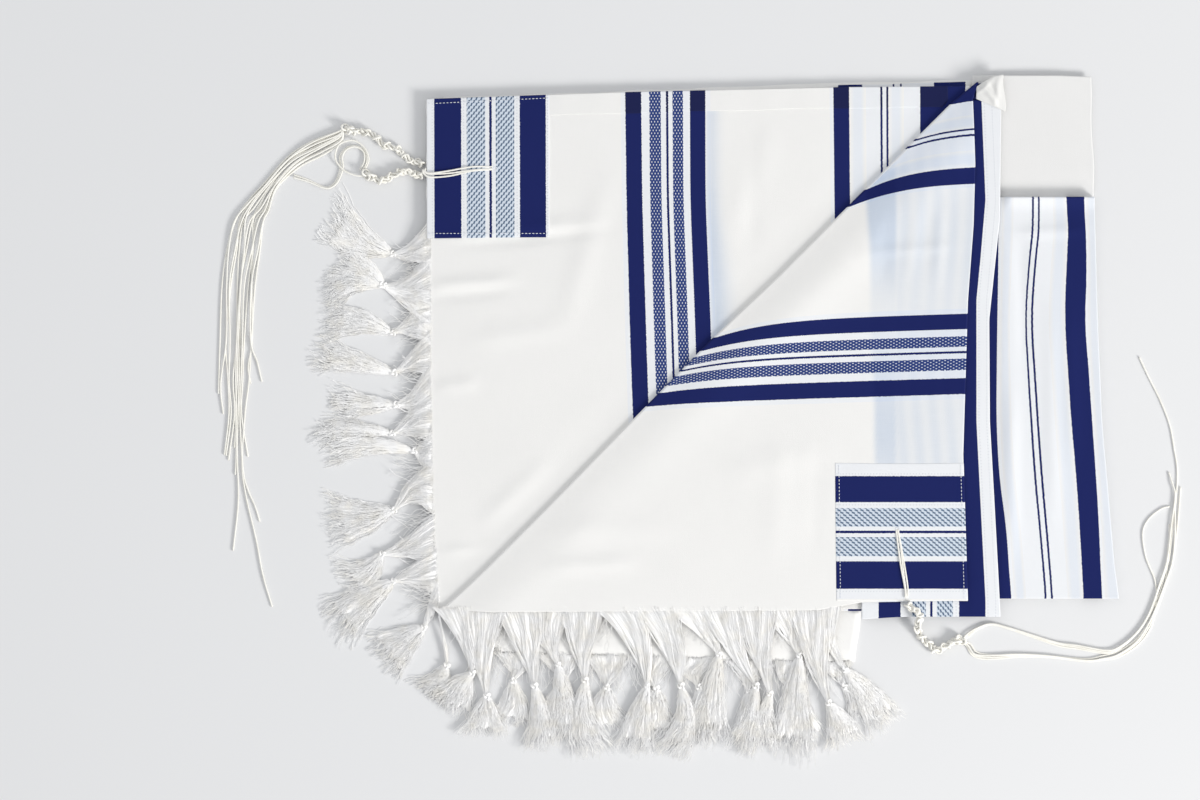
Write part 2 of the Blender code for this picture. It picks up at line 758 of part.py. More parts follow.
def make_crumpled_corner():
    """The crumpled corner of a hidden layer that shows past the neck band's end."""
    upper, lower = [], []
    for row_index, up in enumerate(shares(CRUMPLE_ROWS)):
        upper_row, lower_row = [], []
        for column_index, across in enumerate(shares(CRUMPLE_COLUMNS)):
            x = mix(CRUMPLE_LEFT, CRUMPLE_RIGHT, across)
            y = mix(CRUMPLE_LOWER, CRUMPLE_UPPER, up)
            over_band = y < FOLD_HIGH.y
            base = TURNED_BASE if over_band else REAR_TOP + SEAM_GAP
            turn = CRUMPLE_ROW_TURN * row_index + CRUMPLE_COLUMN_TURN * column_index
            crease = 0.5 + 0.5 * math.sin(turn)
            upper_row.append(Vector((x, y, TURNED_BASE + CLOTH_WALL + CRUMPLE_RISE * crease)))
            lower_row.append(Vector((x, y, base)))
        upper.append(upper_row)
        lower.append(lower_row)
    closed_sheet("crumpled_corner", upper, lower, CLOTH)


def make_fringe(name, tassels, root_height, knot_height, tip_height, base, root_base):
    """The plain solid of a fringe's reach, pointed at each tassel and notched between them."""
    stations = []
    for index, tassel in enumerate(tassels):
        stations.append(tassel)
        if index + 1 < len(tassels):
            after = tassels[index + 1]
            root = Point((tassel.root.x + after.root.x) / 2, (tassel.root.y + after.root.y) / 2)
            middle = Point((tassel.tip.x + after.tip.x) / 2, (tassel.tip.y + after.tip.y) / 2)
            notch = Point(mix(root.x, middle.x, FRINGE_NOTCH), mix(root.y, middle.y, FRINGE_NOTCH))
            stations.append(Tassel(root, notch))
    upper, lower = [], []
    for root, tip in stations:
        reach = math.hypot(tip.x - root.x, tip.y - root.y)
        share = FRINGE_KNOT_REACH / reach
        knot = Point(mix(root.x, tip.x, share), mix(root.y, tip.y, share))
        heights = ((root, root_height, root_base), (knot, knot_height, base), (tip, tip_height, base))
        upper.append([Vector((place.x, place.y, height)) for place, height, _ in heights])
        lower.append([Vector((place.x, place.y, low)) for place, _, low in heights])
    closed_sheet(name, upper, lower, FRINGE)


def smooth_route(route, spacing):
    """Points a spacing apart on the smooth curve through a route's own points."""
    points = [Vector(point) for point in route]
    ends = [2 * points[0] - points[1]] + points + [2 * points[-1] - points[-2]]
    fine = []
    for before, start, end, after in zip(ends, ends[1:], ends[2:], ends[3:]):
        for step in range(ROUTE_SAMPLES):
            t = step / ROUTE_SAMPLES
            fine.append(
                0.5
                * (
                    2 * start
                    + (end - before) * t
                    + (2 * before - 5 * start + 4 * end - after) * t**2
                    + (3 * start - before - 3 * end + after) * t**3
                )
            )
    fine.append(points[-1])
    length = sum((end - start).length for start, end in zip(fine, fine[1:]))
    count = max(CORD_LEAST_STEPS, round(length / spacing))
    even, travelled, target = [fine[0]], 0.0, length / count
    for start, end in zip(fine, fine[1:]):
        step = (end - start).length
        while travelled + step >= target * len(even) and len(even) < count:
            even.append(start.lerp(end, (target * len(even) - travelled) / step))
        travelled += step
    even.append(fine[-1])
    return even


def make_cord(name, route, radius):
    """A plain tube along a cord's route."""
    points = smooth_route(route, CORD_SPACING_IN_DIAMETERS * 2 * radius)
    curve = bpy.data.curves.new(name, "CURVE")
    curve.dimensions = "3D"
    curve.bevel_depth = radius
    curve.bevel_resolution = CORD_BEVEL_RESOLUTION
    curve.use_fill_caps = True
    spline = curve.splines.new("POLY")
    spline.points.add(len(points) - 1)
    for target, point in zip(spline.points, points):
        target.co = (point.x, point.y, point.z, 1.0)
    curve.materials.append(material(name, CORD))
    bpy.context.scene.collection.objects.link(bpy.data.objects.new(name, curve))


def make_fringes():
    """The three runs of knotted fringe that show."""
    make_fringe("fringe_lower_end", LEFT_TASSELS, LOWER_TOP, FRINGE_KNOT_HEIGHT, FRINGE_TIP_HEIGHT, 0.0, 0.0)
    make_fringe(
        "fringe_hidden_end",
        HIDDEN_TASSELS,
        HIDDEN_FRINGE_HEIGHT,
        HIDDEN_FRINGE_HEIGHT,
        HIDDEN_FRINGE_HEIGHT,
        0.0,
        0.0,
    )
    above_hidden = HIDDEN_FRINGE_HEIGHT + SEAM_GAP
    make_fringe(
        "fringe_turned_end",
        TURNED_TASSELS,
        TURNED_TOP,
        above_hidden + FRINGE_KNOT_HEIGHT,
        above_hidden + FRINGE_TIP_HEIGHT,
        above_hidden,
        above_hidden,
    )


def make_tzitzit():
    """The knotted corner strings, each stretch as a plain tube."""
    make_cord("tzitzit_lower_hole_strands", LOWER_HOLE_ROUTE, HOLE_STRAND_RADIUS)
    make_cord("tzitzit_lower_knots", LOWER_UPPER_KNOTS_ROUTE, KNOTTED_RADIUS)
    make_cord("tzitzit_lower_second_knots", LOWER_SECOND_KNOTS_ROUTE, KNOTTED_RADIUS)
    make_cord("tzitzit_lower_ring", LOWER_RING_ROUTE, RING_RADIUS)
    for index, route in enumerate(LOWER_STRAND_ROUTES, start=1):
        make_cord(f"tzitzit_lower_strands_{index}", route, STRAND_RADIUS)
    make_cord("tzitzit_turned_hole_strands", TURNED_HOLE_ROUTE, HOLE_STRAND_RADIUS)
    make_cord("tzitzit_turned_knots", TURNED_KNOTS_ROUTE, KNOTTED_RADIUS)
    for index, route in enumerate(TURNED_STRAND_ROUTES, start=1):
        make_cord(f"tzitzit_turned_strands_{index}", route, STRAND_RADIUS)


def main():
    """Build the folded shawl from the surface up."""
    clear_scene()
    make_hidden_layers()
    make_plain_panel()
    make_lower_half()
    make_lower_hem()
    make_lower_patch()
    make_striped_panel()
    make_neck_band()
    make_turned_corner()
    make_turned_hem()
    make_turned_patch()
    make_crumpled_corner()
    make_fringes()
    make_tzitzit()


main()
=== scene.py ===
"""The looks of a tallit prayer shawl that lies folded, with one corner turned back.

Woven cloth with navy stripes, ribbon patches and a ribbon neck band, knotted fringes and
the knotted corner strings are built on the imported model's frame, in metres, with +Z up.
"""

from __future__ import annotations

import logging
import math
from dataclasses import dataclass
from enum import Enum
from typing import Any, Callable, Sequence

import bpy
import numpy as np
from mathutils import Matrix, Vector

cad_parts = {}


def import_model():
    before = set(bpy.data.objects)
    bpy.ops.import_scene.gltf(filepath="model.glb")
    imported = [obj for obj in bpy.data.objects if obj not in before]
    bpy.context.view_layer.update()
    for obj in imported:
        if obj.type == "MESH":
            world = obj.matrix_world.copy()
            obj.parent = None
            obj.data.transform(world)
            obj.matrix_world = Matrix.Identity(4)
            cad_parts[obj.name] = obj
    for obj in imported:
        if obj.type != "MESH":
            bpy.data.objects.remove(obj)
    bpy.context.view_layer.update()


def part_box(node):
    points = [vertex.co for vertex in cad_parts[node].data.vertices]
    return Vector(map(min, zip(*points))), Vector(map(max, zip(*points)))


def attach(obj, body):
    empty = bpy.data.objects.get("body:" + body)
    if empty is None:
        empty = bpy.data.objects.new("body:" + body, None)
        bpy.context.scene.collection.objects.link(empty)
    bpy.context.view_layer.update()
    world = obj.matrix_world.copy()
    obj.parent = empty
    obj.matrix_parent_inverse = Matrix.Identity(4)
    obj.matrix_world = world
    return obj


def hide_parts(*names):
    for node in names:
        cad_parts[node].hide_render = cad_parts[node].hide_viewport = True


LOG = logging.getLogger("shawl")
BODY = "root"
MILLIMETRE = 0.001
HAIR = 0.00005
PLAIN_CLOTH = -1.0

Array = np.ndarray
Faces = list[tuple[int, ...]]
Material = bpy.types.Material
Object = bpy.types.Object
Colour = tuple[float, float, float]
Table = tuple[tuple[float, ...], ...]
Route = tuple[tuple[float, float, float], ...]


# ---------------------------------------------------------------- shader and geometry nodes


class Field:
    """A shader socket that adds a Math node each time it is used in an expression."""

    def __init__(self, bench: "NodeBench", socket: Any) -> None:
        """Wrap a socket."""
        self.bench = bench
        self.socket = socket

    def _math(self, operation: str, *values: Any) -> "Field":
        """Add one Math node."""
        inputs = {index: value for index, value in enumerate(values)}
        return self.bench.add("ShaderNodeMath", {"operation": operation}, inputs).out()

    def __add__(self, other: Any) -> "Field":
        """The sum."""
        return self._math("ADD", self, other)

    def __radd__(self, other: Any) -> "Field":
        """The sum, from the right."""
        return self._math("ADD", other, self)

    def __sub__(self, other: Any) -> "Field":
        """The difference."""
        return self._math("SUBTRACT", self, other)

    def __rsub__(self, other: Any) -> "Field":
        """The difference, from the right."""
        return self._math("SUBTRACT", other, self)

    def __mul__(self, other: Any) -> "Field":
        """The product."""
        return self._math("MULTIPLY", self, other)

    def __rmul__(self, other: Any) -> "Field":
        """The product, from the right."""
        return self._math("MULTIPLY", other, self)

    def __truediv__(self, other: Any) -> "Field":
        """The quotient."""
        return self._math("DIVIDE", self, other)

    def near(self, centre: float, reach: float) -> "Field":
        """One where the value is within reach of the centre, and zero elsewhere."""
        return self._math("COMPARE", self, centre, reach)

    def above(self, limit: float) -> "Field":
        """One where the value is over the limit."""
        return self._math("GREATER_THAN", self, limit)

    def at_most_one(self) -> "Field":
        """The value, held between zero and one."""
        return self.bench.add("ShaderNodeClamp", {}, {"Value": self}).out()

    def wave(self, pitch: float) -> "Field":
        """A cosine of the value that repeats every pitch."""
        return self._math("COSINE", self * (math.tau / pitch))

    def size(self) -> "Field":
        """The value without its sign."""
        return self._math("ABSOLUTE", self)

    def eased(self, low: float, high: float) -> "Field":
        """A smooth rise from zero at low to one at high.

        Args:
            low: Where the rise starts.
            high: Where the rise ends.

        Returns:
            The eased share.
        """
        settings = {"interpolation_type": "SMOOTHSTEP"}
        inputs = {"Value": self, "From Min": low, "From Max": high}
        return self.bench.add("ShaderNodeMapRange", settings, inputs).out()


class BenchNode:
    """A node that was just added, with its outputs at hand."""

    def __init__(self, bench: "NodeBench", node: Any) -> None:
        """Keep the node and its bench."""
        self.bench = bench
        self.node = node

    def out(self, key: int | str = 0) -> Field:
        """One output, by its place or its name."""
        return Field(self.bench, self.node.outputs[key])


class NodeBench:
    """Adds nodes to one tree, of a material or of Geometry Nodes."""

    def __init__(self, tree: Any) -> None:
        """Work on a tree."""
        self.tree = tree

    def add(self, kind: str, settings: dict[str, Any], inputs: dict[int | str, Any]) -> BenchNode:
        """Add one node, set it up and then fill its sockets.

        Args:
            kind: The node's type name.
            settings: Its properties.
            inputs: Values or links for its sockets, by place or name.

        Returns:
            The node.
        """
        node = self.tree.nodes.new(kind)
        for key, value in settings.items():
            setattr(node, key, value)
        for key, value in inputs.items():
            socket = value.socket if isinstance(value, Field) else value
            if isinstance(socket, bpy.types.NodeSocket):
                self.tree.links.new(socket, node.inputs[key])
            else:
                node.inputs[key].default_value = socket
        return BenchNode(self, node)

    def link(self, field: Field, socket: Any) -> None:
        """Join a field to a socket."""
        self.tree.links.new(field.socket, socket)

    def noise(self, vector: Field, scale: float, detail: float) -> Field:
        """The value of a noise texture."""
        inputs = {"Vector": vector, "Scale": scale, "Detail": detail}
        return self.add("ShaderNodeTexNoise", {}, inputs).out("Fac")

    def vector(self, x: Field, y: Field) -> Field:
        """A vector of two fields, with no Z."""
        return self.add("ShaderNodeCombineXYZ", {}, {"X": x, "Y": y}).out()

    def mix(self, share: Any, start: Any, end: Any, blend: str = "MIX") -> Field:
        """Blend two colours.

        Args:
            share: How much of the second colour shows.
            start: The first colour, or a link to one.
            end: The second colour, or a link to one.
            blend: The way they blend.

        Returns:
            The blended colour.
        """
        node = self.tree.nodes.new("ShaderNodeMix")
        node.data_type = "RGBA"
        node.blend_type = blend
        for socket, value in ((node.inputs[0], share), (node.inputs[6], start), (node.inputs[7], end)):
            if isinstance(value, Field):
                self.tree.links.new(value.socket, socket)
            else:
                socket.default_value = (*value, 1.0) if isinstance(value, tuple) else value
        return Field(self, node.outputs[2])


class GrowthTree:
    """A Geometry Nodes tree with named inputs, which grows a mesh from a source object."""

    def __init__(self, name: str, sizes: dict[str, tuple[str, Any]]) -> None:
        """Start the tree.

        Args:
            name: The tree's name.
            sizes: For each named input, its socket type and its default.
        """
        self.tree = bpy.data.node_groups.new(name, "GeometryNodeTree")
        self.bench = NodeBench(self.tree)
        face = self.tree.interface
        face.new_socket("Geometry", in_out="INPUT", socket_type="NodeSocketGeometry")
        self.identifiers: dict[str, str] = {}
        for label, (kind, default) in sizes.items():
            socket = face.new_socket(label, in_out="INPUT", socket_type=kind)
            if default is not None:
                socket.default_value = default
            self.identifiers[label] = socket.identifier
        face.new_socket("Geometry", in_out="OUTPUT", socket_type="NodeSocketGeometry")
        self.inputs = self.bench.add("NodeGroupInput", {}, {})

    def end(self, geometry: Field) -> None:
        """Realize the geometry, give it its material and send it out.

        Args:
            geometry: The geometry that the tree made.
        """
        realized = self.bench.add("GeometryNodeRealizeInstances", {}, {"Geometry": geometry}).out()
        finish = {"Geometry": realized, "Material": self.inputs.out("Material")}
        dressed = self.bench.add("GeometryNodeSetMaterial", {}, finish).out()
        self.bench.add("NodeGroupOutput", {}, {"Geometry": dressed})

    def grow(self, name: str, source: Any, values: dict[str, Any]) -> bpy.types.Mesh:
        """Run the tree on a source object, which is then removed.

        Args:
            name: The new mesh's name.
            source: The object that the tree starts from.
            values: A value for each named input.

        Returns:
            A plain mesh.
        """
        modifier = source.modifiers.new(self.tree.name, "NODES")
        modifier.node_group = self.tree
        for label, value in values.items():
            modifier[self.identifiers[label]] = value
        graph = bpy.context.evaluated_depsgraph_get()
        graph.update()
        mesh = bpy.data.meshes.new_from_object(
            source.evaluated_get(graph), preserve_all_data_layers=True, depsgraph=graph
        )
        mesh.name = name
        bpy.data.objects.remove(source, do_unlink=True)
        return mesh


def thread_tree() -> GrowthTree:
    """A tree that turns every run of edges into a round thread.

    Returns:
        The tree, to be grown on edges.
    """
    sizes = {
        "Thread Radius": ("NodeSocketFloat", 0.0003),
        "Sides": ("NodeSocketInt", 3),
        "Material": ("NodeSocketMaterial", None),
    }
    grown = GrowthTree("threads", sizes)
    bench = grown.bench
    line = bench.add("GeometryNodeMeshToCurve", {}, {"Mesh": grown.inputs.out("Geometry")}).out()
    circle = {"Resolution": grown.inputs.out("Sides"), "Radius": grown.inputs.out("Thread Radius")}
    profile = bench.add("GeometryNodeCurvePrimitiveCircle", {}, circle).out("Curve")
    tube = {"Curve": line, "Profile Curve": profile, "Fill Caps": True}
    mesh = bench.add("GeometryNodeCurveToMesh", {}, tube).out()
    flat = {"Geometry": mesh, "Shade Smooth": False}
    grown.end(bench.add("GeometryNodeSetShadeSmooth", {}, flat).out())
    return grown


def stitch_tree() -> GrowthTree:
    """A tree that lays small rounded stitches along every run of edges.

    Returns:
        The tree, to be grown on edges.
    """
    sizes = {
        "Pitch": ("NodeSocketFloat", 0.003),
        "Stitch Length": ("NodeSocketFloat", 0.002),
        "Thread Radius": ("NodeSocketFloat", 0.0003),
        "Seed": ("NodeSocketInt", 7),
        "Material": ("NodeSocketMaterial", None),
    }
    grown = GrowthTree("stitches", sizes)
    bench = grown.bench
    line = bench.add("GeometryNodeMeshToCurve", {}, {"Mesh": grown.inputs.out("Geometry")}).out()
    even = {"Curve": line, "Length": grown.inputs.out("Pitch")}
    spaced = bench.add("GeometryNodeResampleCurve", {"mode": "LENGTH"}, even).out()
    ball = bench.add("GeometryNodeMeshUVSphere", {}, {"Segments": 8, "Rings": 6, "Radius": 1.0}).out()
    tangent = bench.add("GeometryNodeInputTangent", {}, {}).out()
    turned = bench.add("FunctionNodeAlignRotationToVector", {"axis": "X"}, {"Vector": tangent}).out()
    uneven = {"Min": 0.8, "Max": 1.15, "Seed": grown.inputs.out("Seed")}
    length_share = bench.add("FunctionNodeRandomValue", {"data_type": "FLOAT"}, {}).node
    for socket in length_share.inputs:
        value = uneven.get(socket.name) if socket.enabled else None
        if isinstance(value, Field):
            bench.link(value, socket)
        elif value is not None:
            socket.default_value = value
    share = next(socket for socket in length_share.outputs if socket.enabled)
    radius = grown.inputs.out("Thread Radius")
    half = grown.inputs.out("Stitch Length") * 0.5 * Field(bench, share)
    scale = bench.add("ShaderNodeCombineXYZ", {}, {"X": half, "Y": radius, "Z": radius}).out()
    laid = {"Points": spaced, "Instance": ball, "Rotation": turned, "Scale": scale}
    grown.end(bench.add("GeometryNodeInstanceOnPoints", {}, laid).out())
    return grown


# ---------------------------------------------------------------------------- finishes


class Tone(Enum):
    """What a stripe of the weave shows."""

    NAVY = "navy"
    WHITE = "white"
    DOTTED_NAVY = "white dots on navy"
    DASHED_WHITE = "navy dashes on white"
    TINT = "a faint blue tint"


@dataclass(frozen=True)
class StripeGroup:
    """Stripes side by side from a starting place: each one's tone and width, in millimetres."""

    start: float
    stripes: tuple[tuple[Tone, float], ...]

    def spans(self, tone: Tone) -> list[tuple[float, float]]:
        """The middle and the half width, in metres, of each stripe of a tone.

        Args:
            tone: The tone to look for.

        Returns:
            A pair for each such stripe.
        """
        found = []
        place = self.start
        for shown, width in self.stripes:
            if shown == tone:
                found.append(((place + width / 2) * MILLIMETRE, width / 2 * MILLIMETRE))
            place += width
        return found


@dataclass(frozen=True)
class Palette:
    """The colours of the cloth and its yarns, in linear light."""

    cloth: Colour = (0.9, 0.893, 0.875)
    white: Colour = (0.86, 0.875, 0.9)
    navy: Colour = (0.009, 0.016, 0.112)
    figure: Colour = (0.03, 0.056, 0.205)
    slate: Colour = (0.086, 0.138, 0.23)
    pale: Colour = (0.66, 0.73, 0.82)
    tint: Colour = (0.68, 0.76, 0.89)
    slub: Colour = (0.45, 0.45, 0.47)
    pinhole: Colour = (0.42, 0.45, 0.52)
    thread: Colour = (0.98, 0.98, 0.985)
    thread_shade: Colour = (0.955, 0.935, 0.89)
    cord: Colour = (0.93, 0.915, 0.865)
    cord_shade: Colour = (0.83, 0.81, 0.74)


PALETTE = Palette()


def start_finish(name: str, looks: dict[str, float]) -> tuple[Material, NodeBench, Any]:
    """Start a finish.

    Args:
        name: The material's name.
        looks: Values for the shader's plain sockets.

    Returns:
        The material, a bench for its tree and the shader's sockets.
    """
    material = bpy.data.materials.new(name)
    material.use_nodes = True
    sockets = material.node_tree.nodes["Principled BSDF"].inputs
    for label, value in looks.items():
        sockets[label].default_value = value
    return material, NodeBench(material.node_tree), sockets


@dataclass(frozen=True)
class WovenCloth:
    """A woven finish whose stripes run at set places across the cloth.

    The piece's UV map holds metres of cloth: U across the stripes, V along them.
    """

    name: str
    groups: tuple[StripeGroup, ...] = ()
    pinholes: tuple[float, ...] = ()
    ground: Colour = PALETTE.cloth
    navy: Colour = PALETTE.navy
    ragged: float = 0.0013
    thread_pitch: float = 0.00075
    dot_pitch: tuple[float, float] = (0.0028, 0.0051)
    dash_pitch: tuple[float, float] = (0.0022, 0.0051)
    dash_slant: float = 0.00036
    pinhole_pitch: float = 0.0027
    roughness: float = 0.86
    sheen: float = 0.06
    sheen_roughness: float = 0.45
    gloss: float = 0.15
    tint_share: float = 0.42
    pinhole_share: float = 0.4
    slub_stretch: tuple[float, float] = (1500.0, 60.0)

    def make(self) -> Material:
        """Build the material.

        Returns:
            The material.
        """
        looks = {
            "Roughness": self.roughness, "Sheen Weight": self.sheen,
            "Sheen Roughness": self.sheen_roughness, "Specular IOR Level": self.gloss,
        }
        material, bench, sockets = start_finish(self.name, looks)
        place = bench.add("ShaderNodeUVMap", {"uv_map": "cloth"}, {}).out()
        split = bench.add("ShaderNodeSeparateXYZ", {}, {"Vector": place})
        across, along = split.out("X"), split.out("Y")
        slub = self._slub(bench, across, along)
        colour = self._stripes(bench, across, along)
        ghost = bench.add("ShaderNodeAttribute", {"attribute_name": "ghost"}, {}).out("Fac")
        colour = bench.mix(ghost * (0.85 + 0.3 * slub), colour, PALETTE.tint, "MULTIPLY")
        colour = bench.mix((slub * 0.09).at_most_one(), colour, PALETTE.slub, "MULTIPLY")
        bench.link(colour, sockets["Base Color"])
        weave = across.wave(self.thread_pitch) * along.wave(self.thread_pitch)
        woven = {"Strength": 0.55, "Distance": 0.00012, "Height": weave}
        fine = bench.add("ShaderNodeBump", {}, woven).out("Normal")
        slubbed = {"Strength": 0.5, "Distance": 0.00025, "Height": slub, "Normal": fine}
        uneven = bench.add("ShaderNodeBump", {}, slubbed).out("Normal")
        bench.link(uneven, sockets["Normal"])
        return material

    def _slub(self, bench: NodeBench, across: Field, along: Field) -> Field:
        """The uneven thickness of the yarns, as long thin streaks both ways.

        Args:
            bench: Where the nodes go.
            across: Metres across the stripes.
            along: Metres along the stripes.

        Returns:
            A value round a half.
        """
        streaks = [
            bench.noise(bench.vector(across * fine, along * coarse), 1.0, 2.0)
            for fine, coarse in (self.slub_stretch, self.slub_stretch[::-1])
        ]
        return (streaks[0] + streaks[1]) * 0.5

    def _mask(self, bench: NodeBench, across: Field, tone: Tone) -> Field | None:
        """Where the stripes of one tone are.

        Args:
            bench: Not used.
            across: Metres across the stripes.
            tone: The tone.

        Returns:
            A mask, or None where the cloth has no such stripe.
        """
        mask = None
        for group in self.groups:
            for middle, half in group.spans(tone):
                band = across.near(middle, half)
                if tone == Tone.TINT:
                    band = 1.0 - (across - middle).size().eased(0.3 * half, half)
                mask = band if mask is None else mask + band
        return mask

    def _stripes(self, bench: NodeBench, across: Field, along: Field) -> Field:
        """The cloth's colour with its stripes.

        Args:
            bench: Where the nodes go.
            across: Metres across the stripes.
            along: Metres along the stripes.

        Returns:
            The colour.
        """
        flutter = bench.noise(bench.vector(across * 150.0, along * 1100.0), 1.0, 1.0)
        edge = across + (flutter - 0.5) * self.ragged
        colour = bench.mix(0.0, self.ground, self.ground)
        dots = (across.wave(self.dot_pitch[0]) * along.wave(self.dot_pitch[1])).eased(0.4, 0.94)
        lane = across.wave(2.0 * self.dash_pitch[0])
        turn = lane.above(0.0) * 2.0 - 1.0
        lean = (along - self.dash_pitch[1] / 4.0).wave(self.dash_pitch[1]) * turn * self.dash_slant
        row = (across - lean).wave(2.0 * self.dash_pitch[0]).size().eased(0.3, 0.72)
        dashes = row * (along.wave(self.dash_pitch[1]) * turn).eased(-0.45, 0.05)
        looks: dict[Tone, Callable[[], Any]] = {
            Tone.TINT: lambda: PALETTE.tint,
            Tone.WHITE: lambda: PALETTE.white,
            Tone.NAVY: lambda: self.navy,
            Tone.DOTTED_NAVY: lambda: bench.mix(dots, PALETTE.figure, PALETTE.white),
            Tone.DASHED_WHITE: lambda: bench.mix(dashes, PALETTE.pale, PALETTE.slate),
        }
        for tone, look in looks.items():
            mask = self._mask(bench, edge, tone)
            if mask is not None:
                share = mask * self.tint_share if tone == Tone.TINT else mask
                colour = bench.mix(share, colour, look())
        holes = None
        for place in self.pinholes:
            line = across.near(place * MILLIMETRE, 0.0004)
            holes = line if holes is None else holes + line
        if holes is not None:
            spots = holes * along.wave(self.pinhole_pitch).above(0.35)
            colour = bench.mix(spots * self.pinhole_share, colour, PALETTE.pinhole)
        return colour


@dataclass(frozen=True)
class Yarn:
    """A finish for loose threads and strings, with random patches of a darker colour: on the fringe
    threads and the corner strings these are painted shade.
    """

    name: str
    colour: Colour
    dark: Colour
    patch_scale: float = 90.0
    fibre_scale: float = 2400.0
    roughness: float = 0.9
    sheen: float = 0.35
    gloss: float = 0.2

    def make(self) -> Material:
        """Build the material.

        Returns:
            The material.
        """
        looks = {
            "Roughness": self.roughness, "Sheen Weight": self.sheen, "Specular IOR Level": self.gloss,
        }
        material, bench, sockets = start_finish(self.name, looks)
        place = bench.add("ShaderNodeTexCoord", {}, {}).out("Object")
        wide = bench.noise(place, self.patch_scale, 3.0)
        fine = bench.noise(place, self.fibre_scale, 1.0)
        # Where the darker colour shows: random patches, painted shade on the fringe threads and the
        # strings.
        share = (wide.eased(0.35, 0.75) * 0.6 + fine * 0.3).at_most_one()
        colour = bench.mix(share, self.colour, self.dark)
        bench.link(colour, sockets["Base Color"])
        bump = bench.add("ShaderNodeBump", {}, {"Strength": 0.4, "Distance": 0.0001, "Height": fine})
        bench.link(bump.out("Normal"), sockets["Normal"])
        return material


@dataclass(frozen=True)
class Plaster:
    """The plain pale floor's finish."""

    name: str = "floor"
    colour: Colour = (0.768, 0.772, 0.78)
    unevenness: float = 0.985

    def make(self) -> Material:
        """Build the material.

        Returns:
            The material.
        """
        material, bench, sockets = start_finish(self.name, {"Roughness": 0.9, "Specular IOR Level": 0.1})
        cloud = bench.noise(bench.add("ShaderNodeTexCoord", {}, {}).out("Object"), 3.0, 2.0)
        dim = tuple(value * self.unevenness for value in self.colour)
        bench.link(bench.mix(cloud, self.colour, dim), sockets["Base Color"])
        return material


NAVY, WHITE, TINT = Tone.NAVY, Tone.WHITE, Tone.TINT
DOTTED, DASHED = Tone.DOTTED_NAVY, Tone.DASHED_WHITE

WIDE_GROUP = StripeGroup(
    171.5,
    (
        (WHITE, 4.1), (NAVY, 14.2), (WHITE, 7.1), (DOTTED, 10.2), (WHITE, 4.7), (NAVY, 2.0),
        (WHITE, 3.8), (DOTTED, 9.3), (WHITE, 6.2), (NAVY, 13.7), (WHITE, 4.4),
    ),
)
NARROW_GROUP = StripeGroup(
    356.8,
    (
        (WHITE, 3.3), (NAVY, 14.0), (TINT, 15.0), (WHITE, 12.7), (NAVY, 1.9), (WHITE, 3.4), (NAVY, 1.8),
        (TINT, 13.8), (WHITE, 14.5), (NAVY, 40.0),
    ),
)
CLOTH_GROUPS = (WIDE_GROUP, NARROW_GROUP)
PATCH_GROUP = StripeGroup(
    0.0,
    (
        (WHITE, 6.5), (NAVY, 23.9), (WHITE, 4.9), (DASHED, 16.4), (WHITE, 3.6), (NAVY, 2.2),
        (WHITE, 3.5), (DASHED, 16.4), (WHITE, 4.9), (NAVY, 23.1), (WHITE, 6.0),
    ),
)
TURNED_PATCH_GROUP = StripeGroup(
    0.0,
    (
        (WHITE, 11.5), (NAVY, 23.1), (WHITE, 5.3), (DASHED, 16.4), (WHITE, 3.5), (NAVY, 2.3),
        (WHITE, 3.5), (DASHED, 16.9), (WHITE, 4.4), (NAVY, 24.4), (WHITE, 9.0),
    ),
)
BAND_GROUP = StripeGroup(
    -20.0,
    (
        (WHITE, 20.0), (NAVY, 23.4), (WHITE, 5.5), (DASHED, 14.2), (WHITE, 3.8), (NAVY, 2.1),
        (WHITE, 3.8), (DASHED, 12.2), (WHITE, 10.2), (NAVY, 19.5), (WHITE, 14.0),
    ),
)
STRIPED_GROUP = StripeGroup(
    -20.0,
    (
        (NAVY, 20.0), (WHITE, 3.0), (TINT, 10.0), (WHITE, 16.2), (NAVY, 1.8), (WHITE, 3.8), (NAVY, 1.8),
        (WHITE, 13.4), (TINT, 14.0), (NAVY, 17.8), (WHITE, 2.6), (TINT, 14.0),
    ),
)
PEEK_GROUP = StripeGroup(
    109.0,
    (
        (NAVY, 21.5), (WHITE, 27.0), (NAVY, 1.5), (WHITE, 5.0), (NAVY, 1.5), (WHITE, 28.5),
        (NAVY, 28.0),
    ),
)


# ------------------------------------------------------------------------------ meshes


def eased(share: Array | float) -> Array | float:
    """A smooth step of a share, held between zero and one."""
    held = np.clip(share, 0.0, 1.0)
    return held * held * (3.0 - 2.0 * held)


def smooth_route(route: Sequence[Sequence[float]], spacing: float) -> Array:
    """Even points on the smooth curve through a route's own points.

    Args:
        route: The route's points.
        spacing: The distance between the new points.

    Returns:
        The points, one to a row.
    """
    points = np.array(route, float)
    ends = np.vstack([2 * points[0] - points[1], points, 2 * points[-1] - points[-2]])
    steps = np.linspace(0.0, 1.0, 16, endpoint=False)[:, None]
    fine = []
    for before, start, end, after in zip(ends, ends[1:], ends[2:], ends[3:]):
        fine.append(
            0.5
            * (
                2 * start
                + (end - before) * steps
                + (2 * before - 5 * start + 4 * end - after) * steps**2
                + (3 * start - before - 3 * end + after) * steps**3
            )
        )
    line = np.vstack([*fine, points[-1:]])
    run = distances(line)
    count = max(4, round(run[-1] / spacing) + 1)
    at = np.linspace(0.0, run[-1], count)
    return np.stack([np.interp(at, run, line[:, axis]) for axis in range(3)], axis=1)


def distances(points: Array) -> Array:
    """How far along a run of points each one is."""
    return np.concatenate([[0.0], np.cumsum(np.linalg.norm(np.diff(points, axis=0), axis=1))])


def between(low: Any, high: Any, share: Any) -> Any:
    """The value at a share of the way from low to high."""
    return low + (high - low) * share


def raised(x: Array, y: Array, height: Array) -> Array:
    """Points from their places in plan and their heights."""
    return np.stack([x, y, height], axis=-1)


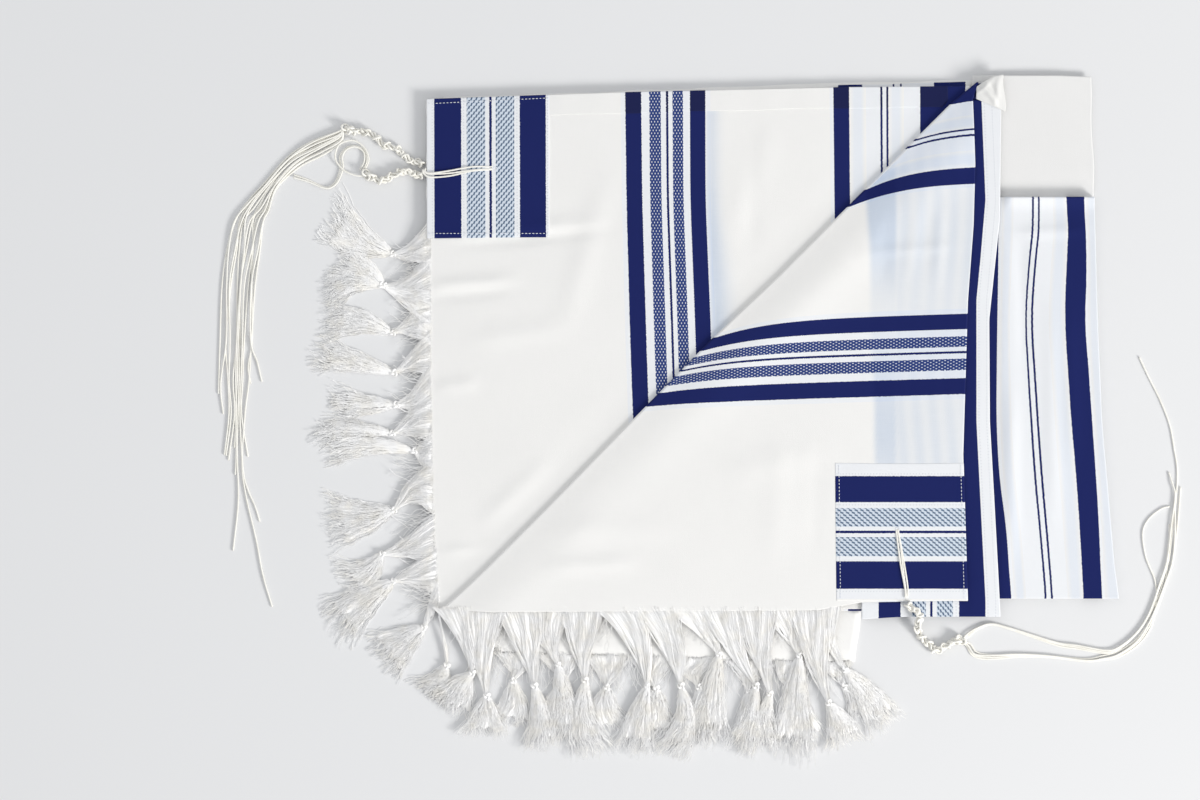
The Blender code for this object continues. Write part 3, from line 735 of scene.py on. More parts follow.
def shifted(points: Array, shift: Array) -> Array:
    """A run of points moved sideways in plan, each by its own shift.

    Args:
        points: The run of points.
        shift: How far each point moves.

    Returns:
        The moved points.
    """
    away = np.gradient(points[:, :2], axis=0)
    away = np.column_stack([-away[:, 1], away[:, 0]])
    away /= np.linalg.norm(away, axis=1, keepdims=True)
    moved = points.copy()
    moved[:, :2] += away * shift[:, None]
    return moved


def overhand(count: int, depth: float) -> Array:
    """Points round an overhand knot of unit size, as deep as given.

    Args:
        count: How many points.
        depth: How deep the knot is.

    Returns:
        The points, one row each.
    """
    turn = np.linspace(0.0, math.tau, count, endpoint=False)
    across = np.sin(turn) + 2 * np.sin(2 * turn)
    return np.stack([across, np.cos(turn) - 2 * np.cos(2 * turn), -depth * np.sin(3 * turn)], axis=1)


def ring_faces(rings: int, sides: int, offset: int = 0, closed: bool = False) -> Faces:
    """The faces of a tube of rings, capped at both ends unless it closes on itself.

    Args:
        rings: How many rings there are.
        sides: How many points a ring has.
        offset: The number of the first point.
        closed: Whether the last ring joins the first.

    Returns:
        The faces.
    """
    faces: Faces = []
    for ring in range(rings if closed else rings - 1):
        near, far = offset + ring * sides, offset + (ring + 1) % rings * sides
        for i in range(sides):
            j = (i + 1) % sides
            faces.append((near + i, near + j, far + j, far + i))
    if not closed:
        faces.append(tuple(offset + i for i in reversed(range(sides))))
        faces.append(tuple(offset + (rings - 1) * sides + i for i in range(sides)))
    return faces


def stations(length: float, step: float, rim: float = 0.0008) -> Array:
    """Shares from 0 to 1 at about even steps, with one more close to each end for a crisp rim.

    Args:
        length: The length that the shares divide.
        step: The step wanted.
        rim: How far from the ends the extra shares are.

    Returns:
        The shares in order.
    """
    count = max(3, round(length / step) + 1)
    inner = np.linspace(0.0, 1.0, count)[1:-1]
    return np.concatenate([[0.0, rim / length], inner, [1.0 - rim / length, 1.0]])


@dataclass
class SheetMesh:
    """A thin closed shell of cloth below a grid of points, with metres of cloth as its UV map."""

    name: str
    top: Array
    cloth: Array
    ghost: Array | None = None
    wall: float = 0.0008

    def normals(self) -> Array:
        """The upward normals of the grid.

        Returns:
            One unit normal for each point of the grid.
        """
        across = np.gradient(self.top, axis=1)
        along = np.gradient(self.top, axis=0)
        found = np.cross(across, along)
        return found / np.maximum(np.linalg.norm(found, axis=2, keepdims=True), 1e-12)

    def build(self, material: Material) -> Object:
        """Make the object: upper side, lower side and a rounded rim.

        Args:
            material: The cloth's finish.

        Returns:
            The object.
        """
        rows, columns = self.top.shape[:2]
        normal = self.normals()
        under = self.top - normal * self.wall
        loop = self._rim(rows, columns)
        flat_top = self.top.reshape(-1, 3)
        outward = self._outward(loop, flat_top, normal.reshape(-1, 3))
        middle = (flat_top[loop] + under.reshape(-1, 3)[loop]) / 2 + outward * self.wall * 0.5
        points = np.vstack([flat_top, under.reshape(-1, 3), middle])
        index = np.arange(rows * columns).reshape(rows, columns)
        corners = (index[:-1, :-1], index[:-1, 1:], index[1:, 1:], index[1:, :-1])
        upper = np.stack([corner.ravel() for corner in corners], axis=1)
        lower = upper[:, ::-1] + rows * columns
        ring = 2 * rows * columns + np.arange(len(loop))
        after = np.roll(loop, -1)
        ring_after = np.roll(ring, -1)
        side_top = np.stack([after, loop, ring, ring_after], axis=1)
        side_low = np.stack([ring_after, ring, loop + rows * columns, after + rows * columns], axis=1)
        faces = np.vstack([upper, lower, side_top, side_low])
        cloth = self.cloth.reshape(-1, 2)
        places = np.vstack([cloth, cloth, cloth[loop]])
        ghost = np.zeros(rows * columns) if self.ghost is None else self.ghost.reshape(-1)
        ghosts = np.concatenate([ghost, ghost, ghost[loop]])
        return mesh_object(self.name, points, faces, material, places, ghosts)

    @staticmethod
    def _rim(rows: int, columns: int) -> Array:
        """The grid's border, once round, as point numbers."""
        index = np.arange(rows * columns).reshape(rows, columns)
        return np.concatenate([index[0, :], index[1:, -1], index[-1, -2::-1], index[-2:0:-1, 0]])

    @staticmethod
    def _outward(loop: Array, points: Array, normals: Array) -> Array:
        """The direction away from the cloth at each point of its border.

        Args:
            loop: The border's point numbers.
            points: The grid's points.
            normals: The grid's normals.

        Returns:
            A unit vector for each border point.
        """
        border = points[loop]
        run = np.roll(border, -1, axis=0) - np.roll(border, 1, axis=0)
        away = np.cross(run, normals[loop])
        return away / np.maximum(np.linalg.norm(away, axis=1, keepdims=True), 1e-12)


def mesh_object(
    name: str,
    points: Array,
    faces: Any,
    material: Material,
    cloth: Array | None = None,
    ghosts: Array | None = None,
) -> Object:
    """Make a smooth mesh object at the origin.

    Args:
        name: The object's name.
        points: Its points.
        faces: Its faces, as rows of point numbers.
        material: Its finish.
        cloth: Metres of cloth at each point, for the UV map.
        ghosts: How much what lies beneath shows through at each point.

    Returns:
        The object.
    """
    mesh = bpy.data.meshes.new(name)
    mesh.from_pydata(points.tolist(), [], faces.tolist() if isinstance(faces, Array) else faces)
    mesh.materials.append(material)
    mesh.shade_smooth()
    if cloth is not None:
        layer = mesh.uv_layers.new(name="cloth")
        corner = np.empty(len(mesh.loops), np.int32)
        mesh.loops.foreach_get("vertex_index", corner)
        layer.data.foreach_set("uv", cloth[corner].astype(np.float32).ravel())
    if ghosts is not None:
        attribute = mesh.attributes.new("ghost", "FLOAT", "POINT")
        attribute.data.foreach_set("value", ghosts.astype(np.float32))
    return linked(name, mesh)


def linked(name: str, data: Any) -> Object:
    """Put data in the scene as an object at the origin.

    Args:
        name: The object's name.
        data: What the object holds.

    Returns:
        The object.
    """
    made = bpy.data.objects.new(name, data)
    bpy.context.scene.collection.objects.link(made)
    return made


def edge_object(lines: Sequence[Array]) -> Object:
    """An object that holds only runs of edges, for a tree to grow on.

    Args:
        lines: The runs of points.

    Returns:
        The object.
    """
    points = np.vstack(lines)
    edges = []
    start = 0
    for line in lines:
        numbers = np.arange(start, start + len(line) - 1)
        edges.append(np.stack([numbers, numbers + 1], axis=1))
        start += len(line)
    mesh = bpy.data.meshes.new("runs")
    mesh.from_pydata(points.tolist(), np.vstack(edges).tolist(), [])
    return linked("runs", mesh)


def frames_along(path: Array) -> tuple[Array, Array, Array]:
    """Directions along a path: its tangents and two sides that don't twist.

    Args:
        path: The path's points.

    Returns:
        The tangents, the first sides and the second sides.
    """
    tangents = np.gradient(path, axis=0)
    tangents /= np.maximum(np.linalg.norm(tangents, axis=1, keepdims=True), 1e-12)
    side = np.cross(tangents[0], (0.0, 0.0, 1.0))
    if np.linalg.norm(side) < 1e-3:
        side = np.cross(tangents[0], (0.0, 1.0, 0.0))
    sides = []
    for tangent in tangents:
        side = side - tangent * side.dot(tangent)
        side = side / np.linalg.norm(side)
        sides.append(side)
    first = np.array(sides)
    return tangents, first, np.cross(tangents, first)


@dataclass
class PlyTube:
    """A twisted string: a round tube with a groove between its plies."""

    path: Array
    radius: float
    sides: int = 8
    plies: int = 2
    groove: float = 0.12
    twist_pitch: float = 0.0075
    closed: bool = False
    end_share: float = 0.7

    def surface(self, offset: int = 0) -> tuple[Array, Faces]:
        """The tube's points and faces.

        Args:
            offset: The number of its first point.

        Returns:
            The points and the faces.
        """
        _, first, second = frames_along(self.path)
        run = distances(self.path)
        angle = np.arange(self.sides) * math.tau / self.sides
        turn = run[:, None] * math.tau / self.twist_pitch
        depth = 0.5 + 0.5 * np.cos(self.plies * (angle[None, :] - turn))
        radius = self.radius * (1.0 - self.groove * depth)
        if not self.closed:
            radius[[0, -1]] *= self.end_share
        flat, high = np.cos(angle)[None, :, None], np.sin(angle)[None, :, None]
        ring = first[:, None, :] * flat + second[:, None, :] * high
        points = (self.path[:, None, :] + ring * radius[:, :, None]).reshape(-1, 3)
        return points, ring_faces(len(self.path), self.sides, offset, self.closed)


def joined_tubes(name: str, tubes: Sequence[PlyTube], material: Material) -> Object:
    """One object of several tubes.

    Args:
        name: The object's name.
        tubes: The tubes.
        material: Their finish.

    Returns:
        The object.
    """
    points: list[Array] = []
    faces: Faces = []
    for tube in tubes:
        more, rings = tube.surface(sum(len(block) for block in points))
        points.append(more)
        faces.extend(rings)
    return mesh_object(name, np.vstack(points), faces, material)


@dataclass(frozen=True)
class Crease:
    """A soft ridge, or a trough where its height is negative, along a straight run."""

    start: tuple[float, float]
    end: tuple[float, float]
    height: float
    width: float

    def lift(self, x: Array, y: Array) -> Array:
        """How much the crease raises each place.

        Args:
            x: The places along X.
            y: The places along Y.

        Returns:
            The heights.
        """
        run_x, run_y = self.end[0] - self.start[0], self.end[1] - self.start[1]
        length = math.hypot(run_x, run_y)
        along = ((x - self.start[0]) * run_x + (y - self.start[1]) * run_y) / length
        off = ((x - self.start[0]) * -run_y + (y - self.start[1]) * run_x) / length
        fade = eased(along / (0.35 * length)) * eased((length - along) / (0.35 * length))
        return self.height * fade * np.exp(-((off / self.width) ** 2))


def crease_table(*rows: tuple[float, ...]) -> tuple[Crease, ...]:
    """Creases from rows of millimetres: start X, Y, end X, Y, height and width."""
    metres = (np.divide(row, 1000).tolist() for row in rows)
    return tuple(Crease(tuple(row[:2]), tuple(row[2:4]), *row[4:]) for row in metres)


def creased(creases: Sequence[Crease], x: Array, y: Array) -> Array:
    """The sum of several creases at each place.

    Args:
        creases: The creases.
        x: The places along X.
        y: The places along Y.

    Returns:
        The height of all the creases.
    """
    total = np.zeros_like(x)
    for crease in creases:
        total = total + crease.lift(x, y)
    return total


def rolling(x: Array, y: Array, height: float, seed: float) -> Array:
    """A gentle uneven swell of cloth that lies loosely.

    Args:
        x: The places along X.
        y: The places along Y.
        height: The most that it rises.
        seed: Shifts the swell, so that pieces differ.

    Returns:
        The heights, from zero up.
    """
    swell = (
        np.sin(31.0 * x + 17.0 * y + seed)
        + 0.7 * np.sin(-19.0 * x + 41.0 * y + 2.3 * seed)
        + 0.5 * np.sin(67.0 * x + 29.0 * y + 3.1 * seed)
        + 0.3 * np.sin(47.0 * x - 88.0 * y + 1.7 * seed)
    )
    return height * (swell + 2.5) / 5.0


def y_at(table: Table, x: Array | float) -> Array:
    """Read the Y of an edge, given as a table of points, at each X."""
    keys, values = zip(*sorted(table))
    return np.interp(x, keys, values)


def x_at(table: Table, y: Array | float) -> Array:
    """Read the X of an edge, given as a table of points, at each Y."""
    return y_at(tuple(row[::-1] for row in table), y)


@dataclass(frozen=True)
class Guides:
    """Where chosen yarns of a cloth lie: each row is a Y and then the X of every guide yarn."""

    cloth: tuple[float, ...]
    rows: Table
    blur: float = 0.02

    def across(self, x: Array, y: Array) -> Array:
        """Metres of cloth across the stripes at each place.

        Args:
            x: The places along X.
            y: The places along Y.

        Returns:
            The distance across the cloth.
        """
        ordered = sorted(self.rows)
        keys = [row[0] for row in ordered]
        spread = np.linspace(-self.blur, self.blur, 7)
        near = np.stack([y + offset for offset in spread])
        lines = [
            np.interp(near, keys, [row[guide + 1] for row in ordered]).mean(axis=0)
            for guide in range(len(self.cloth))
        ]
        result = np.zeros_like(x)
        for guide, (cloth, further) in enumerate(zip(self.cloth, self.cloth[1:])):
            slope = (further - cloth) / (lines[guide + 1] - lines[guide])
            past = (x > lines[guide]) | (guide == 0)
            result = np.where(past, cloth + (x - lines[guide]) * slope, result)
        return result


# ------------------------------------------------------------------------ sub-assemblies


def settle(piece: Object, slot: str, *nodes: str) -> Object:
    """Let a piece ride on the body, hide the CAD nodes that it replaces and log its slot.

    Args:
        piece: The piece.
        slot: The material slot, which is only logged.
        *nodes: The CAD nodes that it replaces.

    Returns:
        The piece.
    """
    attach(piece, BODY)
    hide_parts(*nodes)
    LOG.info("%s: %d faces, slot %s", piece.name, len(piece.data.polygons), slot)
    return piece


@dataclass
class Studio:
    """The floor, the soft lights and the camera that looks straight down."""

    aim: tuple[float, float] = (-0.102, 0.0186)
    camera_height: float = 8.0
    view_width: float = 1.0644
    sensor: float = 36.0
    floor_size: float = 6.0
    lights: tuple[tuple[str, tuple[float, float, float], float, float, Colour], ...] = (
        ("key", (3.6, -2.4, 2.3), 1.4, 205.0, (1.0, 0.985, 0.96)),
        ("fill", (-0.6, 0.9, 2.2), 2.6, 10.0, (0.97, 0.98, 1.0)),
    )
    sky: Colour = (0.965, 0.98, 1.0)
    sky_strength: float = 0.585

    def build(self) -> None:
        """Make the camera first, then the floor and the lights."""
        self._camera()
        self._floor()
        for light in self.lights:
            self._light(*light)
        world = bpy.data.worlds.new("studio")
        world.use_nodes = True
        background = world.node_tree.nodes["Background"]
        background.inputs["Color"].default_value = (*self.sky, 1.0)
        background.inputs["Strength"].default_value = self.sky_strength
        bpy.context.scene.world = world
        bpy.context.scene.view_settings.view_transform = "Standard"

    def _camera(self) -> None:
        """Make the camera, level with the floor and above the middle of the view."""
        data = bpy.data.cameras.new("camera")
        data.sensor_width = self.sensor
        data.lens = self.sensor * self.camera_height / self.view_width
        camera = linked("camera", data)
        camera.location = (*self.aim, self.camera_height)
        bpy.context.scene.camera = camera

    def _floor(self) -> None:
        """Make the floor, whose surface is just under the cloth."""
        half = self.floor_size / 2
        corners = half * np.array([(-1, -1, 0), (1, -1, 0), (1, 1, 0), (-1, 1, 0)], float)
        mesh_object("floor", corners, np.array([(0, 1, 2, 3)]), Plaster().make())

    def _light(
        self, name: str, place: Sequence[float], size: float, power: float, colour: Colour
    ) -> None:
        """Make a square soft light that faces the middle of the view.

        Args:
            name: The light's name.
            place: Where it stands.
            size: Its side.
            power: Its power in watts.
            colour: Its colour.
        """
        data = bpy.data.lights.new(name, "AREA")
        data.shape = "SQUARE"
        data.size = size
        data.energy = power
        data.color = colour
        light = linked(name, data)
        light.location = place
        aim = Vector((*self.aim, 0.0)) - Vector(place)
        light.rotation_euler = aim.to_track_quat("-Z", "Y").to_euler()


PATCH_RISE = 0.0013
RETURN_GAP = 0.0003


@dataclass(frozen=True)
class Layers:
    """The height of each layer's upper side, read from the frame."""

    lower: float
    trim: float
    band: float
    turned: float
    striped: float
    plain: float
    returned: float

    @staticmethod
    def read() -> "Layers":
        """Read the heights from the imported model's nodes.

        Returns:
            The heights.
        """
        return Layers(
            lower=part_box("lower_half")[1].z,
            trim=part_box("lower_corner_patch")[1].z,
            band=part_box("neck_band")[1].z,
            turned=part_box("turned_corner_patch")[1].z - PATCH_RISE,
            striped=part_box("striped_panel")[1].z,
            plain=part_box("plain_panel")[1].z,
            returned=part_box("lower_half")[1].z + RETURN_GAP,
        )


LOWER_LEFT: Table = ((-0.2466, -0.168), (-0.252, -0.05), (-0.255, 0.1), (-0.2555, 0.285))
LOWER_UPPER: Table = ((-0.2555, 0.285), (-0.084, 0.291), (0.111, 0.2955), (0.226, 0.2965))
LOWER_GUIDES = Guides(
    (0.0, 0.1756, 0.2475, 0.3601, 0.4373, 0.4515),
    (
        (-0.168, -0.2466, -0.065, 0.008, 0.118, 0.196, 0.21),
        (0.0009, -0.2525, -0.0727, -0.001, 0.11, 0.186, 0.2),
        (0.0807, -0.2548, -0.0755, -0.003, 0.107, 0.183, 0.197),
        (0.196, -0.2553, -0.0785, -0.0078, 0.1058, 0.1818, 0.196),
        (0.2955, -0.2555, -0.0798, -0.008, 0.1047, 0.1818, 0.196),
    ),
)
FOLD: Table = (
    (-0.2395, -0.1676), (-0.15, -0.0785), (-0.059, 0.0145), (-0.0027, 0.072), (0.0567, 0.1282),
    (0.1318, 0.2034), (0.2093, 0.2808), (0.2324, 0.2998),
)
TURNED_LOWER: Table = (
    (-0.24, -0.1652), (-0.2, -0.168), (0.09, -0.167), (0.13, -0.16), (0.223, -0.1588),
)
TURNED_RIGHT: Table = (
    (0.223, -0.159), (0.219, -0.03), (0.2232, 0.107), (0.2282, 0.174), (0.2297, 0.227),
    (0.2275, 0.285), (0.233, 0.3005),
)
BAND_RIGHT: Table = (
    (0.2525, -0.173),
    (0.247, -0.07),
    (0.243, 0.00),
    (0.2425, 0.09),
    (0.252, 0.18),
    (0.253, 0.284),
)
BAND_NAVY_RIGHT: Table = (
    (0.2395, -0.173), (0.2395, -0.159), (0.2315, 0.0), (0.2315, 0.107), (0.235, 0.143),
    (0.2395, 0.196), (0.236, 0.284),
)
OUTER_RIGHT: Table = (
    (0.3575, -0.157),
    (0.353, -0.123),
    (0.3424, 0.001),
    (0.3386, 0.09),
    (0.3357, 0.199),
    (0.3326, 0.306),
)


def fold_x(y: Array | float) -> Array:
    """Where the diagonal fold is at each Y."""
    return x_at(FOLD, y)


def fold_distance(x: Array, y: Array) -> Array:
    """How far each place is from the diagonal fold, towards the turned-back corner."""
    return np.maximum(0.0, (x - fold_x(y)) * math.sqrt(0.5))


def fold_ridge(x: Array, y: Array) -> Array:
    """How far the layers beneath rise along the diagonal fold."""
    return 0.0012 * np.exp(-((((x - fold_x(y)) * math.sqrt(0.5)) / 0.013) ** 2))


@dataclass
class HiddenLayers:
    """The four layers that are folded away beneath, which show only at their edges."""

    layer: float = 0.0013
    rounding: float = 0.00045
    edge_step: float = 0.006
    waviness: float = 0.0006
    last_inset: float = 0.012
    outlines: tuple[Table, ...] = (
        (
            (-0.243, -0.16), (-0.215, -0.19), (-0.19, -0.206), (-0.05, -0.2105),
            (0.1, -0.215), (0.124, -0.214), (0.131, -0.157),
            (0.354, -0.1545), (0.3395, 0.0000), (0.3335, 0.19),
            (0.3305, 0.304), (0.105, 0.3), (-0.24, 0.286),
        ),
        (
            (-0.2405, -0.1585), (-0.214, -0.1885), (-0.189, -0.2045), (-0.05, -0.209),
            (0.099, -0.2135), (0.1225, -0.2125), (0.1295, -0.1555),
            (0.352, -0.153), (0.3375, 0.0000), (0.3315, 0.19),
            (0.329, 0.3025), (0.105, 0.2985), (-0.238, 0.284),
        ),
        (
            (-0.2435, -0.161), (0.353, -0.155), (0.3385, 0.0000), (0.3325, 0.1955),
            (0.2275, 0.196), (0.227, 0.301), (-0.241, 0.287),
        ),
        (
            (-0.24, -0.159), (0.3505, -0.1535), (0.336, 0.0000), (0.33, 0.1935),
            (0.2255, 0.194), (0.225, 0.2985), (-0.2375, 0.2845),
        ),
    )

    def build(self) -> None:
        """Stack the layers, each with a rounded and slightly wavy edge."""
        points: list[Array] = []
        faces: Faces = []
        for index, outline in enumerate(self.outlines):
            self._slab(points, faces, outline, index)
        block = np.vstack(points)
        cloth = block[:, :2].copy()
        cloth[block[:, 2] < 2 * self.layer - HAIR / 5, 0] = PLAIN_CLOTH
        finish = WovenCloth("hidden cloth", groups=(PEEK_GROUP,))
        piece = mesh_object("hidden_cloth", block, faces, finish.make(), cloth, np.zeros(len(block)))
        settle(piece, "cloth", "hidden_layers")

    def _slab(
        self, points: list[Array], faces: Faces, outline: Table, index: int
    ) -> None:
        """Add one layer.

        Args:
            points: The points so far, which grow.
            faces: The faces so far, which grow.
            outline: The layer's outline.
            index: Its place in the stack, from the lowest.
        """
        corners = np.array(outline)
        border = []
        for start, end in zip(corners, np.roll(corners, -1, axis=0)):
            count = max(1, round(float(np.linalg.norm(end - start)) / self.edge_step))
            shares = np.arange(count)[:, None] / count
            run = start + (end - start) * shares
            away = np.array([end[1] - start[1], start[0] - end[0]])
            away = away / np.linalg.norm(away)
            wave = np.sin(run.sum(axis=1) * 90.0 + index) * np.sin(shares[:, 0] * math.pi)
            border.append(run + away * (self.waviness * wave)[:, None])
        rim = np.vstack(border)
        middle = rim.mean(axis=0)
        low, high = index * self.layer, (index + 1) * self.layer - HAIR
        rings = (
            (low, self.rounding), (low + self.rounding, 0.0), (high - self.rounding, 0.0),
            (high, self.rounding), (high, self.last_inset),
        )
        faces.extend(ring_faces(len(rings), len(rim), sum(len(block) for block in points)))
        inward = (middle - rim) / np.linalg.norm(middle - rim, axis=1, keepdims=True)
        for height, inset in rings:
            points.append(np.column_stack([rim + inward * inset, np.full(len(rim), height)]))


@dataclass
class LowerHalf:
    """The half that lies face up, its selvage hem and its corner patch."""

    layers: Layers
    bottom: float = -0.168
    right: float = 0.226
    top_left: float = 0.285
    step: float = 0.0036
    hem_width: float = 0.018
    hem_gap: float = 0.006
    hem_right: float = 0.206
    hem_navy: Colour = (0.01, 0.014, 0.072)
    patch_right: float = -0.1472
    patch_bottom: float = 0.1632
    show_through: float = 0.2512
    creases: tuple[Crease, ...] = crease_table(
        (-250, 154.5, -80, 170, -1.9, 5), (-245, 162, -90, 177, 1.9, 8), (-262, 119, -165, 126, 2, 6),
        (-262, 109, -175, 116, -1.4, 5), (-250, -114.4, -165, -115, 1.9, 4.5),
        (-252, 30, -205, 34, 1.4, 6), (-140, 60, -90, 235, 1.2, 12), (10, 150, 55, 280, 1, 14),
        (30, 130, 35, 270, -0.8, 9), (-215, -100, -135, -30, 1.4, 10), (-230, 70, -120, 85, 1.2, 10),
    )

    def relief(self, x: Array, y: Array) -> Array:
        """The soft swell and creases of the part that shows."""
        shown = eased((fold_x(y) - x - 0.012) / 0.04)
        return fold_ridge(x, y) + shown * (creased(self.creases, x, y) + rolling(x, y, 0.0009, 0.4))

    def place(self, x: Array, y: Array) -> Array:
        """Metres of cloth at each place: from the fringed end, and along the stripes."""
        return np.stack([LOWER_GUIDES.across(x, y), y], axis=-1)

    def _grid(self, across: Array, up: Array) -> tuple[Array, Array]:
        """Places on the cloth from shares of its width and height.

        Args:
            across: Shares of the width.
            up: Shares of the height.

        Returns:
            The places along X and along Y.
        """
        share_x, share_y = np.meshgrid(across, up)
        y = between(self.bottom, self.top_left, share_y)
        left = x_at(LOWER_LEFT, y) + 0.0007 * np.sin(y * 210.0) * np.sin(y * 37.0)
        x = between(left, self.right, share_x)
        top = y_at(LOWER_UPPER, x)
        return x, between(self.bottom, top, share_y)

    def build(self) -> None:
        """Make the cloth, its hem and its patch."""
        cloth_finish = WovenCloth("striped cloth", groups=CLOTH_GROUPS).make()
        doubled = WovenCloth("striped cloth doubled", groups=CLOTH_GROUPS, navy=self.hem_navy)
        x, y = self._grid(stations(0.48, self.step), stations(0.46, self.step))
        height = self.layers.lower + self.relief(x, y)
        place = self.place(x, y)
        # The bluish show-through bar; its extra strength and width lower down, towards the fold, are
        # painted shade from the fold.
        past = place[..., 0] - self.show_through
        fade = np.where(past > 0.0, 0.0075 + 0.006 * eased((0.2 - y) / 0.1), 0.003)
        ghost = (0.62 + 0.3 * eased((0.24 - y) / 0.08)) * np.exp(-((past / fade) ** 2))
        cloth = SheetMesh("lower_cloth", raised(x, y, height), place, ghost)
        body = settle(cloth.build(cloth_finish), "cloth", "lower_half")
        hem = self._hem(doubled.make())
        patch = self._patch()

    def _hem(self, finish: Material) -> Object:
        """Make the doubled hem along the long selvage.

        Args:
            finish: The hem's material.

        Returns:
            The hem.
        """
        across, up = np.meshgrid(stations(0.37, 0.004), stations(self.hem_width, 0.003, 0.0004))
        start = self.patch_right + 0.0003
        x = between(start, self.hem_right, across)
        top = y_at(LOWER_UPPER, x)
        y = top - self.hem_width * (1.0 - up) - 0.0004 * np.sin(x * 60.0) * (1.0 - up)
        x = np.minimum(x, fold_x(y) - self.hem_gap)
        height = self.layers.lower + 0.0005 + 0.0001 * np.sin(x * 170.0) + self.relief(x, y)
        mesh = SheetMesh("lower_hem", raised(x, y, height), self.place(x, y), wall=0.0005)
        piece = settle(mesh.build(finish), "cloth", "lower_selvage_hem")
        return piece

    def _patch(self) -> Object:
        """Make the ribbon square on the corner.

        Returns:
            The ribbon square.
        """
        across, up = np.meshgrid(stations(0.108, 0.004), stations(0.122, 0.004))
        y = between(self.patch_bottom, self.top_left, up)
        left = x_at(LOWER_LEFT, y)
        x = between(left, self.patch_right, across)
        top = y_at(LOWER_UPPER, x)
        y = between(self.patch_bottom, top, up) - 0.001 * (1.0 - up) * (1.0 - across)
        bowed = 0.0008 * np.sin(math.pi * up) * np.sin(math.pi * across)
        height = self.layers.trim + 0.6 * self.relief(x, y) + bowed
        cloth = np.stack([(x - left) * 1.0, y], axis=-1)
        mesh = SheetMesh("lower_patch", raised(x, y, height), cloth)
        finish = WovenCloth(
            "patch ribbon", groups=(PATCH_GROUP,), pinholes=(4.8, 32.6, 79.8, 107.0)
        )
        piece = settle(mesh.build(finish.make()), "ribbon", "lower_corner_patch")
        return piece


